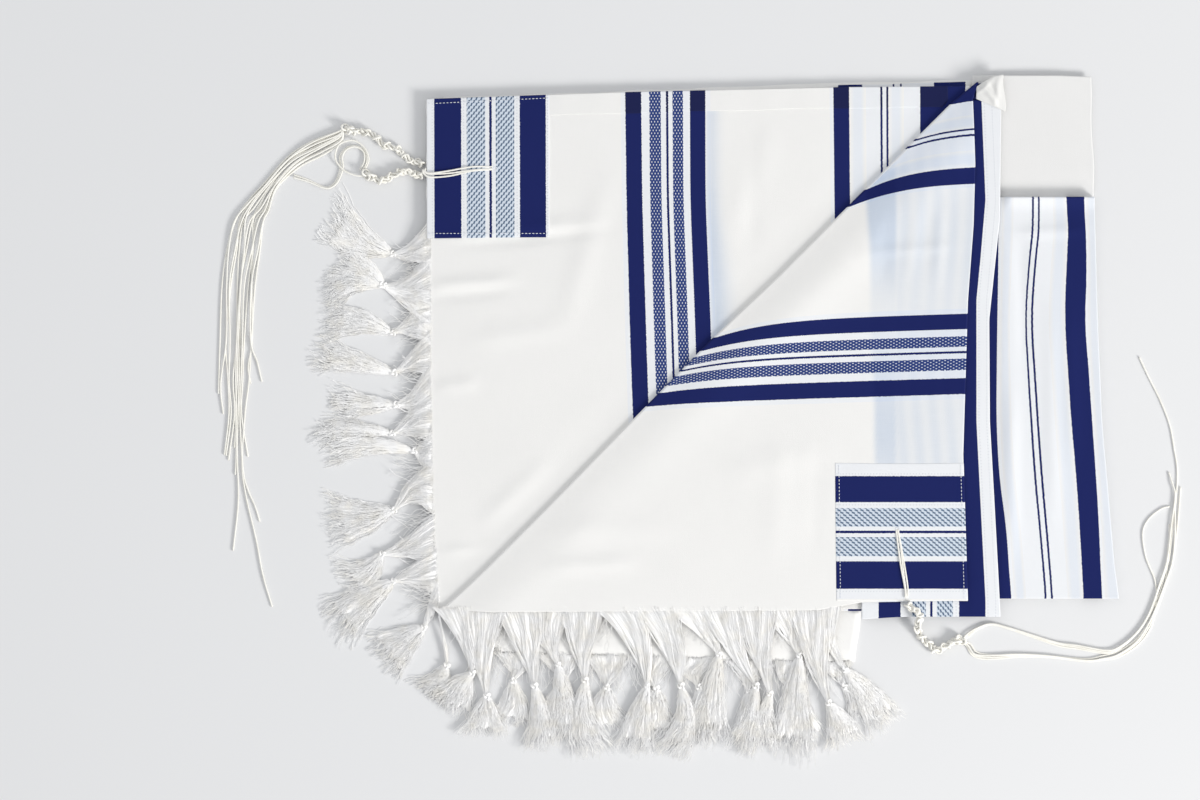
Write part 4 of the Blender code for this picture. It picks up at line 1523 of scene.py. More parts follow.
@dataclass
class TurnedCorner:
    """The corner folded back along a diagonal, its selvage hem and its corner patch."""

    layers: Layers
    pinch: float = 0.001
    pinch_reach: float = 0.012
    swell: float = 0.0024
    swell_place: float = 0.032
    swell_reach: float = 0.022
    top: float = 0.2998
    step: float = 0.0034
    arc_steps: int = 10
    columns: int = 130
    return_columns: int = 24
    return_right: float = 0.24
    hem_width: float = 0.018
    hem_navy: Colour = (0.018, 0.026, 0.135)
    hem_top: float = 0.289
    patch_left: float = 0.1064
    patch_top: float = -0.0373
    patch_low: float = -0.159
    across_guide: Table = (
        (-0.169, 0.000), (-0.1588, 0.007), (0.0239, 0.1756), (0.0958, 0.2475), (0.2111, 0.3601),
        (0.2262, 0.3741), (0.2558, 0.4025), (0.2615, 0.408), (0.2875, 0.4373), (0.302, 0.4515),
    )
    bend_guide: Table = (
        (-0.17, 0.0000),
        (0.0124, 0.003),
        (0.072, 0.015),
        (0.14, 0.02),
        (0.2034, 0.022),
        (0.249, 0.013),
        (0.299, 0.004),
    )
    bend_reach: float = 0.022
    tilt: float = 0.03
    creases: tuple[Crease, ...] = crease_table(
        (-160, -130, -60, -125, 1.4, 8), (50, -145, 60, 10, 0.6, 11), (86, -140, 92, 0, -0.4, 8),
        (170, 120, 182, 205, 0.8, 7), (196, 110, 200, 200, 0.7, 6), (148, 110, 152, 190, -0.6, 7),
        (120, 148, 225, 156, 0.9, 5), (-180, -90, -20, -100, 1, 12), (0, -50, 120, -20, 1, 14),
    )

    def height(self, x: Array, y: Array) -> Array:
        """The height of the upper side, pinched at the fold and swelling beside it.

        Args:
            x: The places along X.
            y: The places along Y.

        Returns:
            The heights.
        """
        near = fold_distance(x, y)
        swell = self.swell * np.exp(-(((near - self.swell_place) / self.swell_reach) ** 2))
        swell = swell * (0.45 + 0.55 * eased((y + 0.02) / 0.12))
        swell = swell - self.pinch * np.exp(-((near / self.pinch_reach) ** 2))
        body = eased((near - 0.01) / 0.03)
        soft = body * (creased(self.creases, x, y) + rolling(x, y, 0.0009, 2.2))
        return self.layers.turned + swell + soft

    def place(self, x: Array, y: Array) -> Array:
        """Metres of cloth at each place: from the fringed end, and from the selvage.

        Args:
            x: The places along X.
            y: The places along Y.

        Returns:
            The distances across and along the cloth.
        """
        right = x_at(TURNED_RIGHT, y)
        level = y + self.tilt * (right - x) * eased((y + 0.1) / 0.12) * eased((0.22 - y) / 0.1)
        bend = y_at(self.bend_guide, y) * np.exp(-fold_distance(x, y) / self.bend_reach)
        return np.stack([y_at(self.across_guide, level + bend), right - x], axis=-1)

    def ghost(self, x: Array, y: Array) -> Array:
        """How much the neck band's stripes show through.

        Args:
            x: The places along X.
            y: The places along Y.

        Returns:
            The share of the stripes that shows.
        """
        edge = 0.1402 - 0.032 * y + 0.0006 * np.sin(y * 55.0)
        dark = eased((x - edge + 0.002) / 0.006) * (1.0 - eased((x - 0.158) / 0.005))
        dark = dark * (1.0 + 0.3 * eased((y - 0.06) / 0.08))
        pale = eased((x - 0.159) / 0.004)
        streak = 0.5 + 0.5 * np.sin(x * 430.0 + 1.6 * np.sin(y * 24.0))
        along = 0.65 + 0.35 * np.sin(y * 33.0 + x * 12.0)
        return np.clip(0.84 * dark * along + pale * (0.34 + 0.26 * streak * along), 0.0, 1.0)

    def build(self) -> None:
        """Make the cloth with its rolled fold, its hem and its patch."""
        finish = WovenCloth("turned cloth", groups=CLOTH_GROUPS).make()
        doubled = WovenCloth("turned cloth doubled", groups=CLOTH_GROUPS, navy=self.hem_navy)
        rows = [self._row(up) for up in stations(0.65, self.step)]
        points = np.array([row[0] for row in rows])
        upper = np.array([row[1] for row in rows])
        ghost = np.array([row[2] for row in rows])
        cloth = SheetMesh("turned_cloth", points, upper, ghost)
        body = settle(cloth.build(finish), "cloth", "turned_corner")
        hem = self._hem(doubled.make())
        patch = self._patch()

    def _row(self, up: float) -> tuple[Array, Array, Array]:
        """One row of the cloth, from its right edge over the fold and back beneath.

        Args:
            up: The row's share of the height.

        Returns:
            The row's points, its metres of cloth and its show-through.
        """
        level = between(FOLD[0][1], self.top, up)
        left = float(fold_x(level))
        right = float(x_at(TURNED_RIGHT, level))
        base = self.layers.returned
        outer = (self.layers.turned - self.pinch - base) / 2
        normal = np.array((-math.sqrt(0.5), math.sqrt(0.5)))
        centre = np.array((left, level)) - normal * outer
        reach = stations(max(right - centre[0], 0.002), self.step)
        even = np.linspace(0.0, 1.0, self.columns)
        reach = np.interp(even, np.linspace(0.0, 1.0, len(reach)), reach)[::-1]
        x = between(centre[0], right, reach)
        y = between(centre[1], level, reach)
        drop = y_at(TURNED_LOWER, x) - FOLD[0][1]
        y = y + drop * (1.0 - up) ** 8
        z = self.height(x, y)
        low = base + float(fold_ridge(x[-1], y[-1]))
        middle, radius = (z[-1] + low) / 2, (z[-1] - low) / 2
        angles = np.linspace(0.0, math.pi, self.arc_steps + 2)[1:-1]
        arc_x = x[-1] + normal[0] * outer * np.sin(angles)
        arc_y = y[-1] + normal[1] * outer * np.sin(angles)
        arc_z = middle + radius * np.cos(angles)
        back = np.linspace(0.0, 1.0, self.return_columns)
        back_x = between(x[-1], self.return_right, back)
        back_y = np.full(len(back), y[-1])
        back_z = base + fold_ridge(back_x, back_y)
        points = np.vstack([raised(x, y, z), raised(arc_x, arc_y, arc_z), raised(back_x, back_y, back_z)])
        turned = self.place(points[:, 0], points[:, 1])
        ghost = np.concatenate([self.ghost(x, y), np.zeros(len(angles) + len(back))])
        return points, turned, ghost

    def _hem(self, finish: Material) -> Object:
        """Make the doubled hem on the selvage.

        Args:
            finish: The hem's material.

        Returns:
            The hem.
        """
        across, up = np.meshgrid(stations(self.hem_width, 0.003, 0.0004), stations(0.33, 0.004))
        low = self.patch_top + 0.0003
        y = between(low, self.hem_top, up)
        right = x_at(TURNED_RIGHT, y) + 0.0004
        left = np.maximum(right - self.hem_width, fold_x(y) + 0.004)
        x = between(left, right, across)
        height = self.height(x, y) + 0.0006 + 0.0001 * np.sin(y * 150.0)
        top = raised(x, y, height)
        mesh = SheetMesh("turned_hem", top, self.place(x, y), 0.8 * self.ghost(x, y), wall=0.0007)
        piece = settle(mesh.build(finish), "cloth", "turned_selvage_hem")
        return piece

    def _patch(self) -> Object:
        """Make the ribbon square on the corner, with its stripes level.

        Returns:
            The ribbon square.
        """
        across, up = np.meshgrid(stations(0.115, 0.004), stations(0.122, 0.004))
        y = between(self.patch_low, self.patch_top, up)
        left = self.patch_left + 0.0012 * (1.0 - up)
        right = x_at(TURNED_RIGHT, y) + 0.0005
        x = between(left, right, across)
        y = y - 0.0006 * np.sin(across * 3.0) * up
        height = self.height(x, y) + 0.0011 + 0.0005 * np.sin(math.pi * up) * np.sin(math.pi * across)
        cloth = np.stack([self.patch_top - y, x], axis=-1)
        mesh = SheetMesh("turned_patch", raised(x, y, height), cloth)
        finish = WovenCloth(
            "turned patch ribbon",
            groups=(TURNED_PATCH_GROUP,),
            pinholes=(9.6, 37.0, 87.2, 113.5),
        )
        piece = settle(mesh.build(finish.make()), "ribbon", "turned_corner_patch")
        return piece


@dataclass
class NeckBand:
    """The ribbon band that shows past the turned-back corner."""

    layers: Layers
    left: float = 0.13
    fold_clearance: float = 0.014
    low: float = -0.173
    high: float = 0.284
    # A greyer ground than the other cloths: painted shade, for the band's pale margin that lies in shade.
    ground: Colour = (0.8, 0.815, 0.845)

    def build(self) -> None:
        """Make the band."""
        across, up = np.meshgrid(stations(0.117, 0.004), stations(0.457, 0.004))
        y = between(self.low, self.high, up)
        left = np.maximum(self.left, fold_x(y) + self.fold_clearance)
        right = x_at(BAND_RIGHT, y)
        x = between(left, right, across)
        y = y - 0.0022 * eased((0.175 - x) / 0.05) * (1.0 - up) ** 6
        edge = eased((x - 0.22) / 0.01)
        height = self.layers.band + edge * (0.0003 + 0.0005 * np.sin(y * 38.0 + 0.8))
        cloth = np.stack([x_at(BAND_NAVY_RIGHT, y) - x, y], axis=-1)
        mesh = SheetMesh("neck_band_ribbon", raised(x, y, height), cloth)
        finish = WovenCloth(
            "neck band ribbon", (BAND_GROUP,), pinholes=(-2.2, -9.0, 26.0, 75.0), ground=self.ground
        )
        piece = settle(mesh.build(finish.make()), "ribbon", "neck_band")


@dataclass
class OuterPanels:
    """The doubled striped panel and the plain layer beyond the neck band."""

    layers: Layers
    striped_low: float = -0.157
    striped_top: float = 0.1987
    roll_radius: float = 0.0014
    fold_thickness: float = 0.0027
    plain_left: float = 0.2285
    plain_low: float = 0.197
    plain_high: float = 0.306
    striped_left: Table = ((0.243, -0.157), (0.24, 0.00), (0.245, 0.1987))
    guides: Guides = Guides(
        (0.0, 0.0328, 0.064, 0.0818, 0.095),
        (
            (-0.16, 0.2635, 0.2962, 0.327, 0.3435, 0.3577),
            (-0.151, 0.2617, 0.2954, 0.3262, 0.3424, 0.356),
            (-0.094, 0.2581, 0.2905, 0.323, 0.3402, 0.3515),
            (-0.052, 0.2519, 0.2865, 0.3202, 0.338, 0.347),
            (0.0009, 0.2492, 0.2828, 0.3154, 0.3345, 0.3424),
            (0.0896, 0.2501, 0.277, 0.3096, 0.3276, 0.3386),
            (0.137, 0.251, 0.2803, 0.3113, 0.3298, 0.3375),
            (0.181, 0.251, 0.2856, 0.3136, 0.3282, 0.3362),
            (0.2, 0.2519, 0.2834, 0.3096, 0.3261, 0.3357),
        ),
    )
    creases: tuple[Crease, ...] = crease_table(
        (262, -150, 263, 60, 1.7, 6), (300, -120, 298, 150, 1.5, 8), (275, 20, 270, 190, -1.2, 6),
        (318, -60, 312, 130, 1.4, 7), (255, 166, 340, 170, 1.5, 5),
    )

    def build(self) -> None:
        """Make both panels."""
        self._striped()
        self._plain()

    def _striped(self) -> None:
        """Make the doubled panel: its upper side, the fold along its top and its under side."""
        across = stations(0.105, 0.0034)
        roll_start = self.striped_top - self.roll_radius
        levels = [(between(self.striped_low, roll_start, up), 0.0) for up in stations(0.356, 0.0036)[:-1]]
        for angle in np.linspace(0.0, math.pi, 8):
            drop = -self.fold_thickness / 2 * (1.0 - math.cos(angle))
            levels.append((roll_start + self.roll_radius * math.sin(angle), drop))
        for up in np.linspace(0.98, 0.0, 24):
            levels.append((between(self.striped_low, roll_start, up), -self.fold_thickness))
        rows, clothes = [], []
        for level, drop in levels:
            y = np.full(len(across), level)
            rows.append(self._striped_row(across, y, drop))
            clothes.append(np.column_stack([self.guides.across(rows[-1][:, 0], y), y]))
        mesh = SheetMesh("striped_panel_cloth", np.array(rows), np.array(clothes))
        finish = WovenCloth("striped panel", groups=(STRIPED_GROUP,), ground=(0.85, 0.85, 0.85))
        piece = settle(mesh.build(finish.make()), "cloth", "striped_panel")

    def _striped_row(self, across: Array, y: Array, drop: float) -> Array:
        """One row of the panel's points.

        Args:
            across: Shares of the width.
            y: The places along Y.
            drop: How far the row hangs below the cloth.

        Returns:
            The row's points.
        """
        left = x_at(self.striped_left, y)
        right = x_at(OUTER_RIGHT, y)
        x = between(left, right, across)
        relief = creased(self.creases, x, y) + rolling(x, y, 0.0008, 4.0)
        relief = relief * eased((self.striped_top - y) / 0.02) * (drop == 0.0)
        roll = 0.0046 * np.exp(-(((self.striped_top - y) / 0.007) ** 2)) * (drop > -0.002)
        relief = relief + roll * eased((x - 0.2535) / 0.008)
        tuck = -0.0012 * eased((0.256 - x) / 0.008)
        return np.column_stack([x, y, self.layers.striped + relief + tuck * (drop == 0.0) + drop])

    def _plain(self) -> None:
        """Make the plain layer, whose lower edge runs beneath the striped panel."""
        across, up = np.meshgrid(stations(0.105, 0.0036), stations(0.109, 0.0036))
        y = between(self.plain_low, self.plain_high, up)
        right = x_at(OUTER_RIGHT, y) + 0.0006 * np.sin(y * 90.0)
        x = between(self.plain_left, right, across)
        y = y - 0.0012 * eased((x - 0.3) / 0.04) * up
        height = self.layers.plain + rolling(x, y, 0.0014, 5.5) * eased((y - 0.205) / 0.02)
        cloth = np.stack([x, y], axis=-1)
        mesh = SheetMesh("plain_panel_cloth", raised(x, y, height), cloth)
        finish = WovenCloth("plain cloth", ground=(0.85, 0.845, 0.835))
        piece = settle(mesh.build(finish.make()), "cloth", "plain_panel")


@dataclass
class CrumpledCorner:
    """The crumpled corner of a hidden layer past the neck band's end."""

    left: float = 0.2315
    right: float = 0.256
    low_left: float = 0.2855
    low_right: float = 0.2745
    high: float = 0.3065
    corner_cut: float = 0.0105
    base: float = 0.0106
    bulge: float = 0.002
    folds: tuple[tuple[tuple[float, float], float, float, float], ...] = (
        ((0.45, 0.45), 2.2, 0.0022, 0.13),
        ((0.7, 0.3), 1.9, -0.0014, 0.1),
        ((0.25, 0.7), 0.7, 0.0012, 0.12),
        ((0.8, 0.65), 1.3, 0.0014, 0.11),
    )

    def build(self) -> None:
        """Make the corner as one small sheet with deep soft folds."""
        across, up = np.meshgrid(stations(0.026, 0.0009, 0.0004), stations(0.034, 0.0009, 0.0004))
        low = between(self.low_left, self.low_right, across)
        high = self.high - self.corner_cut * (1.0 - across) ** 1.7
        x = between(self.left, self.right, across) + 0.0012 * np.sin(up * 5.0 + 0.6) * across
        y = between(low, high, up)
        dome = np.sin(math.pi * np.clip(across * 0.94 + 0.03, 0, 1)) ** 0.7
        dome = dome * np.sin(math.pi * np.clip(up * 0.92 + 0.04, 0, 1)) ** 0.7
        height = self.base + self.bulge * dome
        for place, turn, lift, width in self.folds:
            off = (across - place[0]) * math.sin(turn) - (up - place[1]) * math.cos(turn)
            height = height + lift * dome * np.exp(-((off / width) ** 2))
        mesh = SheetMesh("crumpled_cloth", raised(x, y, height), np.stack([x, y], axis=-1))
        finish = WovenCloth("crumpled cloth", ground=(0.84, 0.835, 0.815))
        piece = settle(mesh.build(finish.make()), "cloth", "crumpled_corner")


# ------------------------------------------------------------------------------- fringes


MASS_SIDES = 40


@dataclass(frozen=True)
class Tassel:
    """A tassel: where its threads leave the cloth, its knot, its tip and how wide its tip flares."""

    root: tuple[float, float]
    knot: tuple[float, float]
    tip: tuple[float, float]
    flare: float
    root_spread: float


def tassels(*rows: tuple[float, ...]) -> tuple[Tassel, ...]:
    """Tassels from rows of millimetres: root X, Y, knot X, Y, tip X, Y, flare and root spread."""
    metres = (np.divide((*row, 20)[:8], 1000).tolist() for row in rows)
    return tuple(Tassel(tuple(row[:2]), tuple(row[2:4]), tuple(row[4:6]), *row[6:]) for row in metres)


@dataclass
class KnottedFringe:
    """A run of knotted tassels of fine loose threads."""

    name: str
    node: str
    tassels: tuple[Tassel, ...]
    root_height: float
    edge: tuple[float, float]
    lie: float
    seed: int
    threads: int = 100
    radius: float = 0.00025
    samples: int = 15
    gather_steps: int = 8
    clumps: int = 9
    curl: float = 0.0014
    neck: float = 0.0015
    twist: float = 0.1
    knot_size: float = 0.0016
    loose: int = 430

    def build(self, tree: GrowthTree, finish: Material) -> None:
        """Make the masses, grow the threads on them and tie the knots.

        Args:
            tree: The tree that turns runs of edges into threads.
            finish: The threads' finish.
        """
        chance = np.random.default_rng(self.seed)
        runs: list[Array] = []
        points: list[Array] = []
        faces: Faces = []
        for tassel in self.tassels:
            threads, mass = self._tassel(tassel, chance)
            runs.extend(threads)
            start = sum(len(block) for block in points)
            points.append(mass)
            faces.extend(ring_faces(len(mass) // MASS_SIDES, MASS_SIDES, start))
        runs.extend(self._fray(chance))
        body = mesh_object(self.name + "_masses", np.vstack(points), faces, finish)
        settle(body, "fringe", self.node)
        values = {"Thread Radius": self.radius, "Sides": 3, "Material": finish}
        settle(linked(self.name, tree.grow(self.name, edge_object(runs), values)), "fringe", self.node)
        knots = [self._knot(tassel, chance) for tassel in self.tassels]
        bound = joined_tubes(self.name + "_knots", knots, finish)
        settle(bound, "fringe", self.node)

    def _heading(self, tassel: Tassel) -> tuple[Array, Array]:
        """The tassel's direction past its knot, and the direction across it.

        Args:
            tassel: The tassel.

        Returns:
            The two unit directions.
        """
        run = np.array(tassel.tip) - np.array(tassel.knot)
        run = run / np.linalg.norm(run)
        return run, np.array((-run[1], run[0]))

    def _tassel(
        self, tassel: Tassel, chance: np.random.Generator
    ) -> tuple[list[Array], Array]:
        """One tassel: threads gathered and twisted up to the knot, then a wavy brush.

        Args:
            tassel: The tassel.
            chance: The source of unevenness.

        Returns:
            A run of points for each thread, and the rings of points of the dense inner mass.
        """
        count = self.threads
        run, side = self._heading(tassel)
        root, knot, tip = (np.array(place) for place in (tassel.root, tassel.knot, tassel.tip))
        edge = np.array(self.edge)
        length = float(np.linalg.norm(tip - knot))
        bow, sway = chance.normal(0.0, 0.0034), chance.normal(0.0, 0.0038)
        clump = chance.integers(0, self.clumps, count)
        lanes = np.linspace(-0.9, 0.9, self.clumps) + chance.normal(0.0, 0.08, self.clumps)
        lane = np.clip(lanes[clump] + chance.normal(0.0, 0.12, count), -1.05, 1.05)
        rough = chance.uniform(-0.0003, 0.0007, count)
        gather = np.linspace(0.0, 1.0, self.gather_steps)[:, None]
        turn = np.arccos(np.clip(lane, -1.0, 1.0)) + math.tau * self.twist * gather**2
        off = self._gather_width(tassel, gather) * np.cos(turn) + bow * np.sin(math.pi * gather)
        ripple = np.sin(gather * chance.uniform(4.0, 11.0, self.clumps)[clump] + clump * 1.7)
        off = off + 0.0016 * ripple * np.sin(math.pi * gather)
        off = off + chance.normal(0.0, 0.0009, count) * (1.0 - gather)
        across = edge * (1.0 - gather) + side * gather * np.sign(side @ edge)
        plan = between(root, knot, gather)[:, None, :] + off[:, :, None] * across[:, None, :]
        inward = (root - knot) / np.linalg.norm(root - knot)
        plan[0] += inward * chance.uniform(0.0, 0.0022, count)[:, None]
        height = self._gather_level(gather) + self._gather_pile(gather) * np.abs(np.sin(turn)) + rough
        height = height + 0.0003 * np.sin(6.0 * gather + lane * 9.0)
        upper = np.concatenate([plan, height[:, :, None]], axis=2)
        share = np.linspace(0.06, 1.0, self.samples)[:, None]
        reach = length * (0.88 + 0.16 * chance.uniform(0.0, 1.0, self.clumps)[clump])
        reach = reach * chance.uniform(0.86, 1.06, count)
        phase = chance.uniform(0.0, math.tau, self.clumps)[clump] + chance.normal(0.0, 0.6, count)
        pitch = chance.uniform(0.014, 0.026, self.clumps)[clump]
        wave = np.sin(share * reach / pitch * math.tau + phase) * self.curl * share
        crimp = np.sin(share * reach / 0.0085 * math.tau + 1.7 * phase) * 0.0004
        fluff = chance.normal(0.0, 0.0012, count) * share + chance.normal(0.0, 0.0042, count) * share**3
        off = self._brush_width(tassel, share) * lane + wave * chance.uniform(0.4, 1.3, count)
        off = off + crimp + fluff + sway * np.sin(math.pi * share)
        plan = knot + run * (share * reach)[:, :, None] + side * off[:, :, None]
        dome = np.sqrt(np.clip(1.0 - lane**2, 0.0, 1.0))
        height = self.lie + 0.0003 + self._brush_pile(share) * dome + rough * (0.3 + share)
        lower = np.concatenate([plan, height[:, :, None]], axis=2)
        lines = np.concatenate([upper, lower]).transpose(1, 0, 2)
        lines[:, :, 2] = np.maximum(lines[:, :, 2], self.radius + 0.0001)
        return list(lines), self._mass(tassel, bow, sway, lanes)

    def _gather_width(self, tassel: Tassel, share: Array) -> Array:
        """Half the width of the gathered threads, from the cloth's edge to the knot."""
        return tassel.root_spread * (1.0 - share) ** 1.1 + self.neck

    def _gather_level(self, share: Array) -> Array:
        """The height of the middle of the gathered threads."""
        drop = eased(share * 1.2)
        return self.root_height * (1.0 - drop) + (self.lie + 0.001) * drop

    def _gather_pile(self, share: Array) -> Array:
        """How thick the gathered threads are."""
        return 0.0003 + 0.0022 * share

    def _brush_width(self, tassel: Tassel, share: Array) -> Array:
        """Half the width of the brush, from the knot to its tip."""
        return self.neck * (1.0 - share) + tassel.flare * share**0.7

    def _brush_pile(self, share: Array) -> Array:
        """How thick the brush is."""
        return 0.0024 + 0.002 * np.sin(math.pi * share**0.6) - 0.0018 * share

    def _mass(self, tassel: Tassel, bow: float, sway: float, lanes: Array) -> Array:
        """The dense inner mass that the loose threads lie on.

        Args:
            tassel: The tassel.
            bow: How far the gathered part bows.
            sway: How far the brush sways.
            lanes: Where its clumps lie across it.

        Returns:
            Its points, ring by ring.
        """
        run, side = self._heading(tassel)
        root, knot, tip = (np.array(place) for place in (tassel.root, tassel.knot, tassel.tip))
        edge = np.array(self.edge)
        length = float(np.linalg.norm(tip - knot))
        angle = np.linspace(0.0, math.tau, MASS_SIDES, endpoint=False)
        flat, high = np.cos(angle), np.clip(np.sin(angle), -0.05, 1.0)
        ridge = 1.0 - 0.3 * np.abs(np.sin(flat * 9.0 + lanes[0] * 30.0)) * (high > 0)
        rings = []
        for share in np.linspace(0.0, 1.0, 9):
            across = edge * (1.0 - share) + side * share * np.sign(side @ edge)
            off = 0.86 * self._gather_width(tassel, share) * flat + bow * math.sin(math.pi * share)
            pile = 0.9 * self._gather_pile(share)
            plan = between(root, knot, share) + across * off[:, None]
            rings.append(np.column_stack([plan, self._gather_level(share) + pile * high * ridge]))
        for share in np.linspace(0.06, 0.72, 13):
            half = 0.95 * self._brush_width(tassel, share)
            pile = 0.92 * self._brush_pile(share)
            ripple = 0.0008 * np.sin(share * 14.0 + flat * 4.0 + lanes[1] * 9.0) * share
            off = half * flat + sway * math.sin(math.pi * share) + ripple
            jag = length * 0.05 * share * np.sin(flat * 11.0 + lanes[2] * 20.0)
            plan = knot + run * (share * length + jag)[:, None] + side * off[:, None]
            rings.append(np.column_stack([plan, self.lie + 0.0002 + pile * high * ridge]))
        last = rings[-1].copy()
        last[:, :2] += run * length * 0.06
        last[:, 2] = self.lie + 0.0003
        rings.append(last)
        points = np.vstack(rings)
        points[:, 2] = np.maximum(points[:, 2], 0.0002)
        return points

    def _fray(self, chance: np.random.Generator) -> list[Array]:
        """Short loose threads along the cloth's edge.

        Args:
            chance: The source of chance.

        Returns:
            The threads, one run of points each.
        """
        roots = np.array([tassel.root for tassel in self.tassels])
        edge = np.array(self.edge)
        out = np.array((-edge[1], 0.0)) if edge[1] else np.array((0.0, -1.0))
        at = chance.uniform(0.0, len(roots) - 1.0, self.loose)
        index = at.astype(int)
        part = (at - index)[:, None]
        start = roots[index] * (1 - part) + roots[np.minimum(index + 1, len(roots) - 1)] * part
        length = 0.006 + 0.034 * chance.uniform(0.0, 1.0, self.loose) ** 1.4
        lean = chance.normal(0.0, 0.3, self.loose)
        phase = chance.uniform(0.0, math.tau, self.loose)
        share = np.linspace(0.0, 1.0, 8)[:, None]
        sway = share**1.5 * lean * length + 0.0012 * share * np.sin(share * length * 420.0 + phase)
        plan = start - out * 0.0018 + out * (share * length)[:, :, None] + edge * sway[:, :, None]
        drop = eased(share * length / 0.026)
        floor = self.lie + chance.uniform(0.0012, 0.004, self.loose)
        height = self.root_height * (1.0 - drop) + floor * drop + 0.0003
        lines = np.concatenate([plan, height[:, :, None]], axis=2).transpose(1, 0, 2)
        return list(lines)

    def _knot(self, tassel: Tassel, chance: np.random.Generator) -> PlyTube:
        """The overhand knot that gathers a tassel.

        Args:
            tassel: The tassel.
            chance: The source of unevenness.

        Returns:
            The knot's tube.
        """
        run, side = self._heading(tassel)
        size = self.knot_size * chance.uniform(0.88, 1.1)
        tilt = chance.uniform(-0.5, 0.5)
        local = overhand(34, 1.0) * (size * 0.62, size * 0.62, size * 0.95)
        x = local[:, 0] * math.cos(tilt) - local[:, 1] * math.sin(tilt)
        y = local[:, 0] * math.sin(tilt) + local[:, 1] * math.cos(tilt)
        knot = np.array(tassel.knot)
        plan = knot + run * x[:, None] + side * (y * 0.9)[:, None]
        path = np.column_stack([plan, self.lie + size * 1.55 + local[:, 2]])
        return PlyTube(path, size * 0.66, plies=5, groove=0.16, twist_pitch=0.012, closed=True)


# ------------------------------------------------------------------------ corner strings


STRAND_LOW = 0.00085
STRAND_HIGH = 0.0021
KNOT_REST = 0.0034


def at_height(
    height: float, plan: Table, first: Sequence[float] = (), last: Sequence[float] = ()
) -> Route:
    """A route at one height, apart from its first and its last points."""
    level = (height,) * (len(plan) - len(first) - len(last))
    return tuple((*place, z) for place, z in zip(plan, (*first, *level, *last)))


LOWER_HOLE_ROUTE = at_height(
    0.0098,
    (
        (-0.1969, 0.2235), (-0.215, 0.2222), (-0.235, 0.2196), (-0.252, 0.219), (-0.2575, 0.2205),
        (-0.2587, 0.2232),
    ),
    last=(0.0094, 0.009),
)
LOWER_UPPER_KNOTS_ROUTE = at_height(
    KNOT_REST,
    (
        (-0.2592, 0.2276), (-0.2625, 0.229), (-0.2665, 0.229), (-0.2728, 0.2329), (-0.278, 0.2382),
        (-0.2845, 0.2422), (-0.2949, 0.2453), (-0.3002, 0.2511), (-0.3105, 0.2563), (-0.32, 0.2572),
        (-0.3287, 0.2596),
    ),
    first=(0.0045,),
)
LOWER_SECOND_KNOTS_ROUTE = at_height(
    KNOT_REST,
    (
        (-0.2592, 0.2188), (-0.264, 0.2178), (-0.27, 0.2205), (-0.2767, 0.2212), (-0.2858, 0.2173),
        (-0.2975, 0.2129), (-0.305, 0.2165), (-0.3105, 0.2195),
    ),
    first=(0.0045,),
)
LOWER_RING_ROUTE = at_height(
    0.0015,
    (
        (-0.3142, 0.2222), (-0.3105, 0.23), (-0.3115, 0.239), (-0.319, 0.2435), (-0.327, 0.2415),
        (-0.3315, 0.2345), (-0.331, 0.224), (-0.3353, 0.2121), (-0.3418, 0.2069), (-0.3482, 0.2076),
        (-0.3614, 0.2134), (-0.374, 0.2172),
    ),
)
LOWER_LOOP_ROUTE = at_height(
    0.003,
    (
        (-0.3105, 0.2195), (-0.319, 0.219), (-0.329, 0.2235), (-0.3345, 0.233), (-0.331, 0.2425),
        (-0.3215, 0.2455), (-0.3125, 0.241), (-0.308, 0.232), (-0.311, 0.2245),
    ),
)
LOWER_LANES: tuple[Table, ...] = (
    (
        (-0.3344, 0.2572), (-0.3583, 0.2475), (-0.3787, 0.2342), (-0.3996, 0.2111), (-0.4169, 0.1934),
        (-0.4275, 0.1765), (-0.4329, 0.1517), (-0.4373, 0.1197), (-0.4391, 0.0718), (-0.4404, 0.024),
    ),
    (
        (-0.3344, 0.2537), (-0.3548, 0.2439), (-0.3761, 0.2312), (-0.3956, 0.2098), (-0.4098, 0.1907),
        (-0.4187, 0.1765), (-0.4231, 0.1517), (-0.4275, 0.1197), (-0.4293, 0.0718), (-0.4311, 0.0364),
        (-0.4293, 0.0062), (-0.4337, -0.031),
    ),
    (
        (-0.3335, 0.2501), (-0.3504, 0.2404), (-0.3728, 0.228), (-0.3916, 0.2084), (-0.4027, 0.1889),
        (-0.4098, 0.1765), (-0.4133, 0.1517), (-0.4178, 0.1197), (-0.4204, 0.0718), (-0.4222, 0.0364),
        (-0.4231, 0.0062), (-0.424, -0.0302), (-0.4228, -0.0701), (-0.4275, -0.1153),
    ),
    (
        (-0.3317, 0.2466), (-0.3459, 0.2369), (-0.369, 0.2249), (-0.3876, 0.2067), (-0.3956, 0.1872),
        (-0.4009, 0.1765), (-0.4036, 0.1517), (-0.408, 0.1197), (-0.4098, 0.0718), (-0.4133, 0.0364),
        (-0.4169, 0.0062), (-0.4195, -0.0373), (-0.416, -0.0665), (-0.4071, -0.1047), (-0.4009, -0.137),
        (-0.3927, -0.165),
    ),
)
SHARED_STATIONS = 9
TURNED_HOLE_ROUTE = at_height(
    0.0139,
    (
        (0.1614, -0.0958), (0.164, -0.11), (0.1662, -0.13), (0.1684, -0.148), (0.1692, -0.157),
    ),
)
TURNED_KNOTS_ROUTE = at_height(
    KNOT_REST,
    (
        (0.1698, -0.1628), (0.1797, -0.1698), (0.1806, -0.1765), (0.18, -0.183), (0.1799, -0.1868),
        (0.1814, -0.1898), (0.1885, -0.1969), (0.1955, -0.203), (0.206, -0.1987), (0.2147, -0.1943),
        (0.2195, -0.195),
    ),
    first=(0.0132, 0.0132, 0.0138, 0.0078),
)
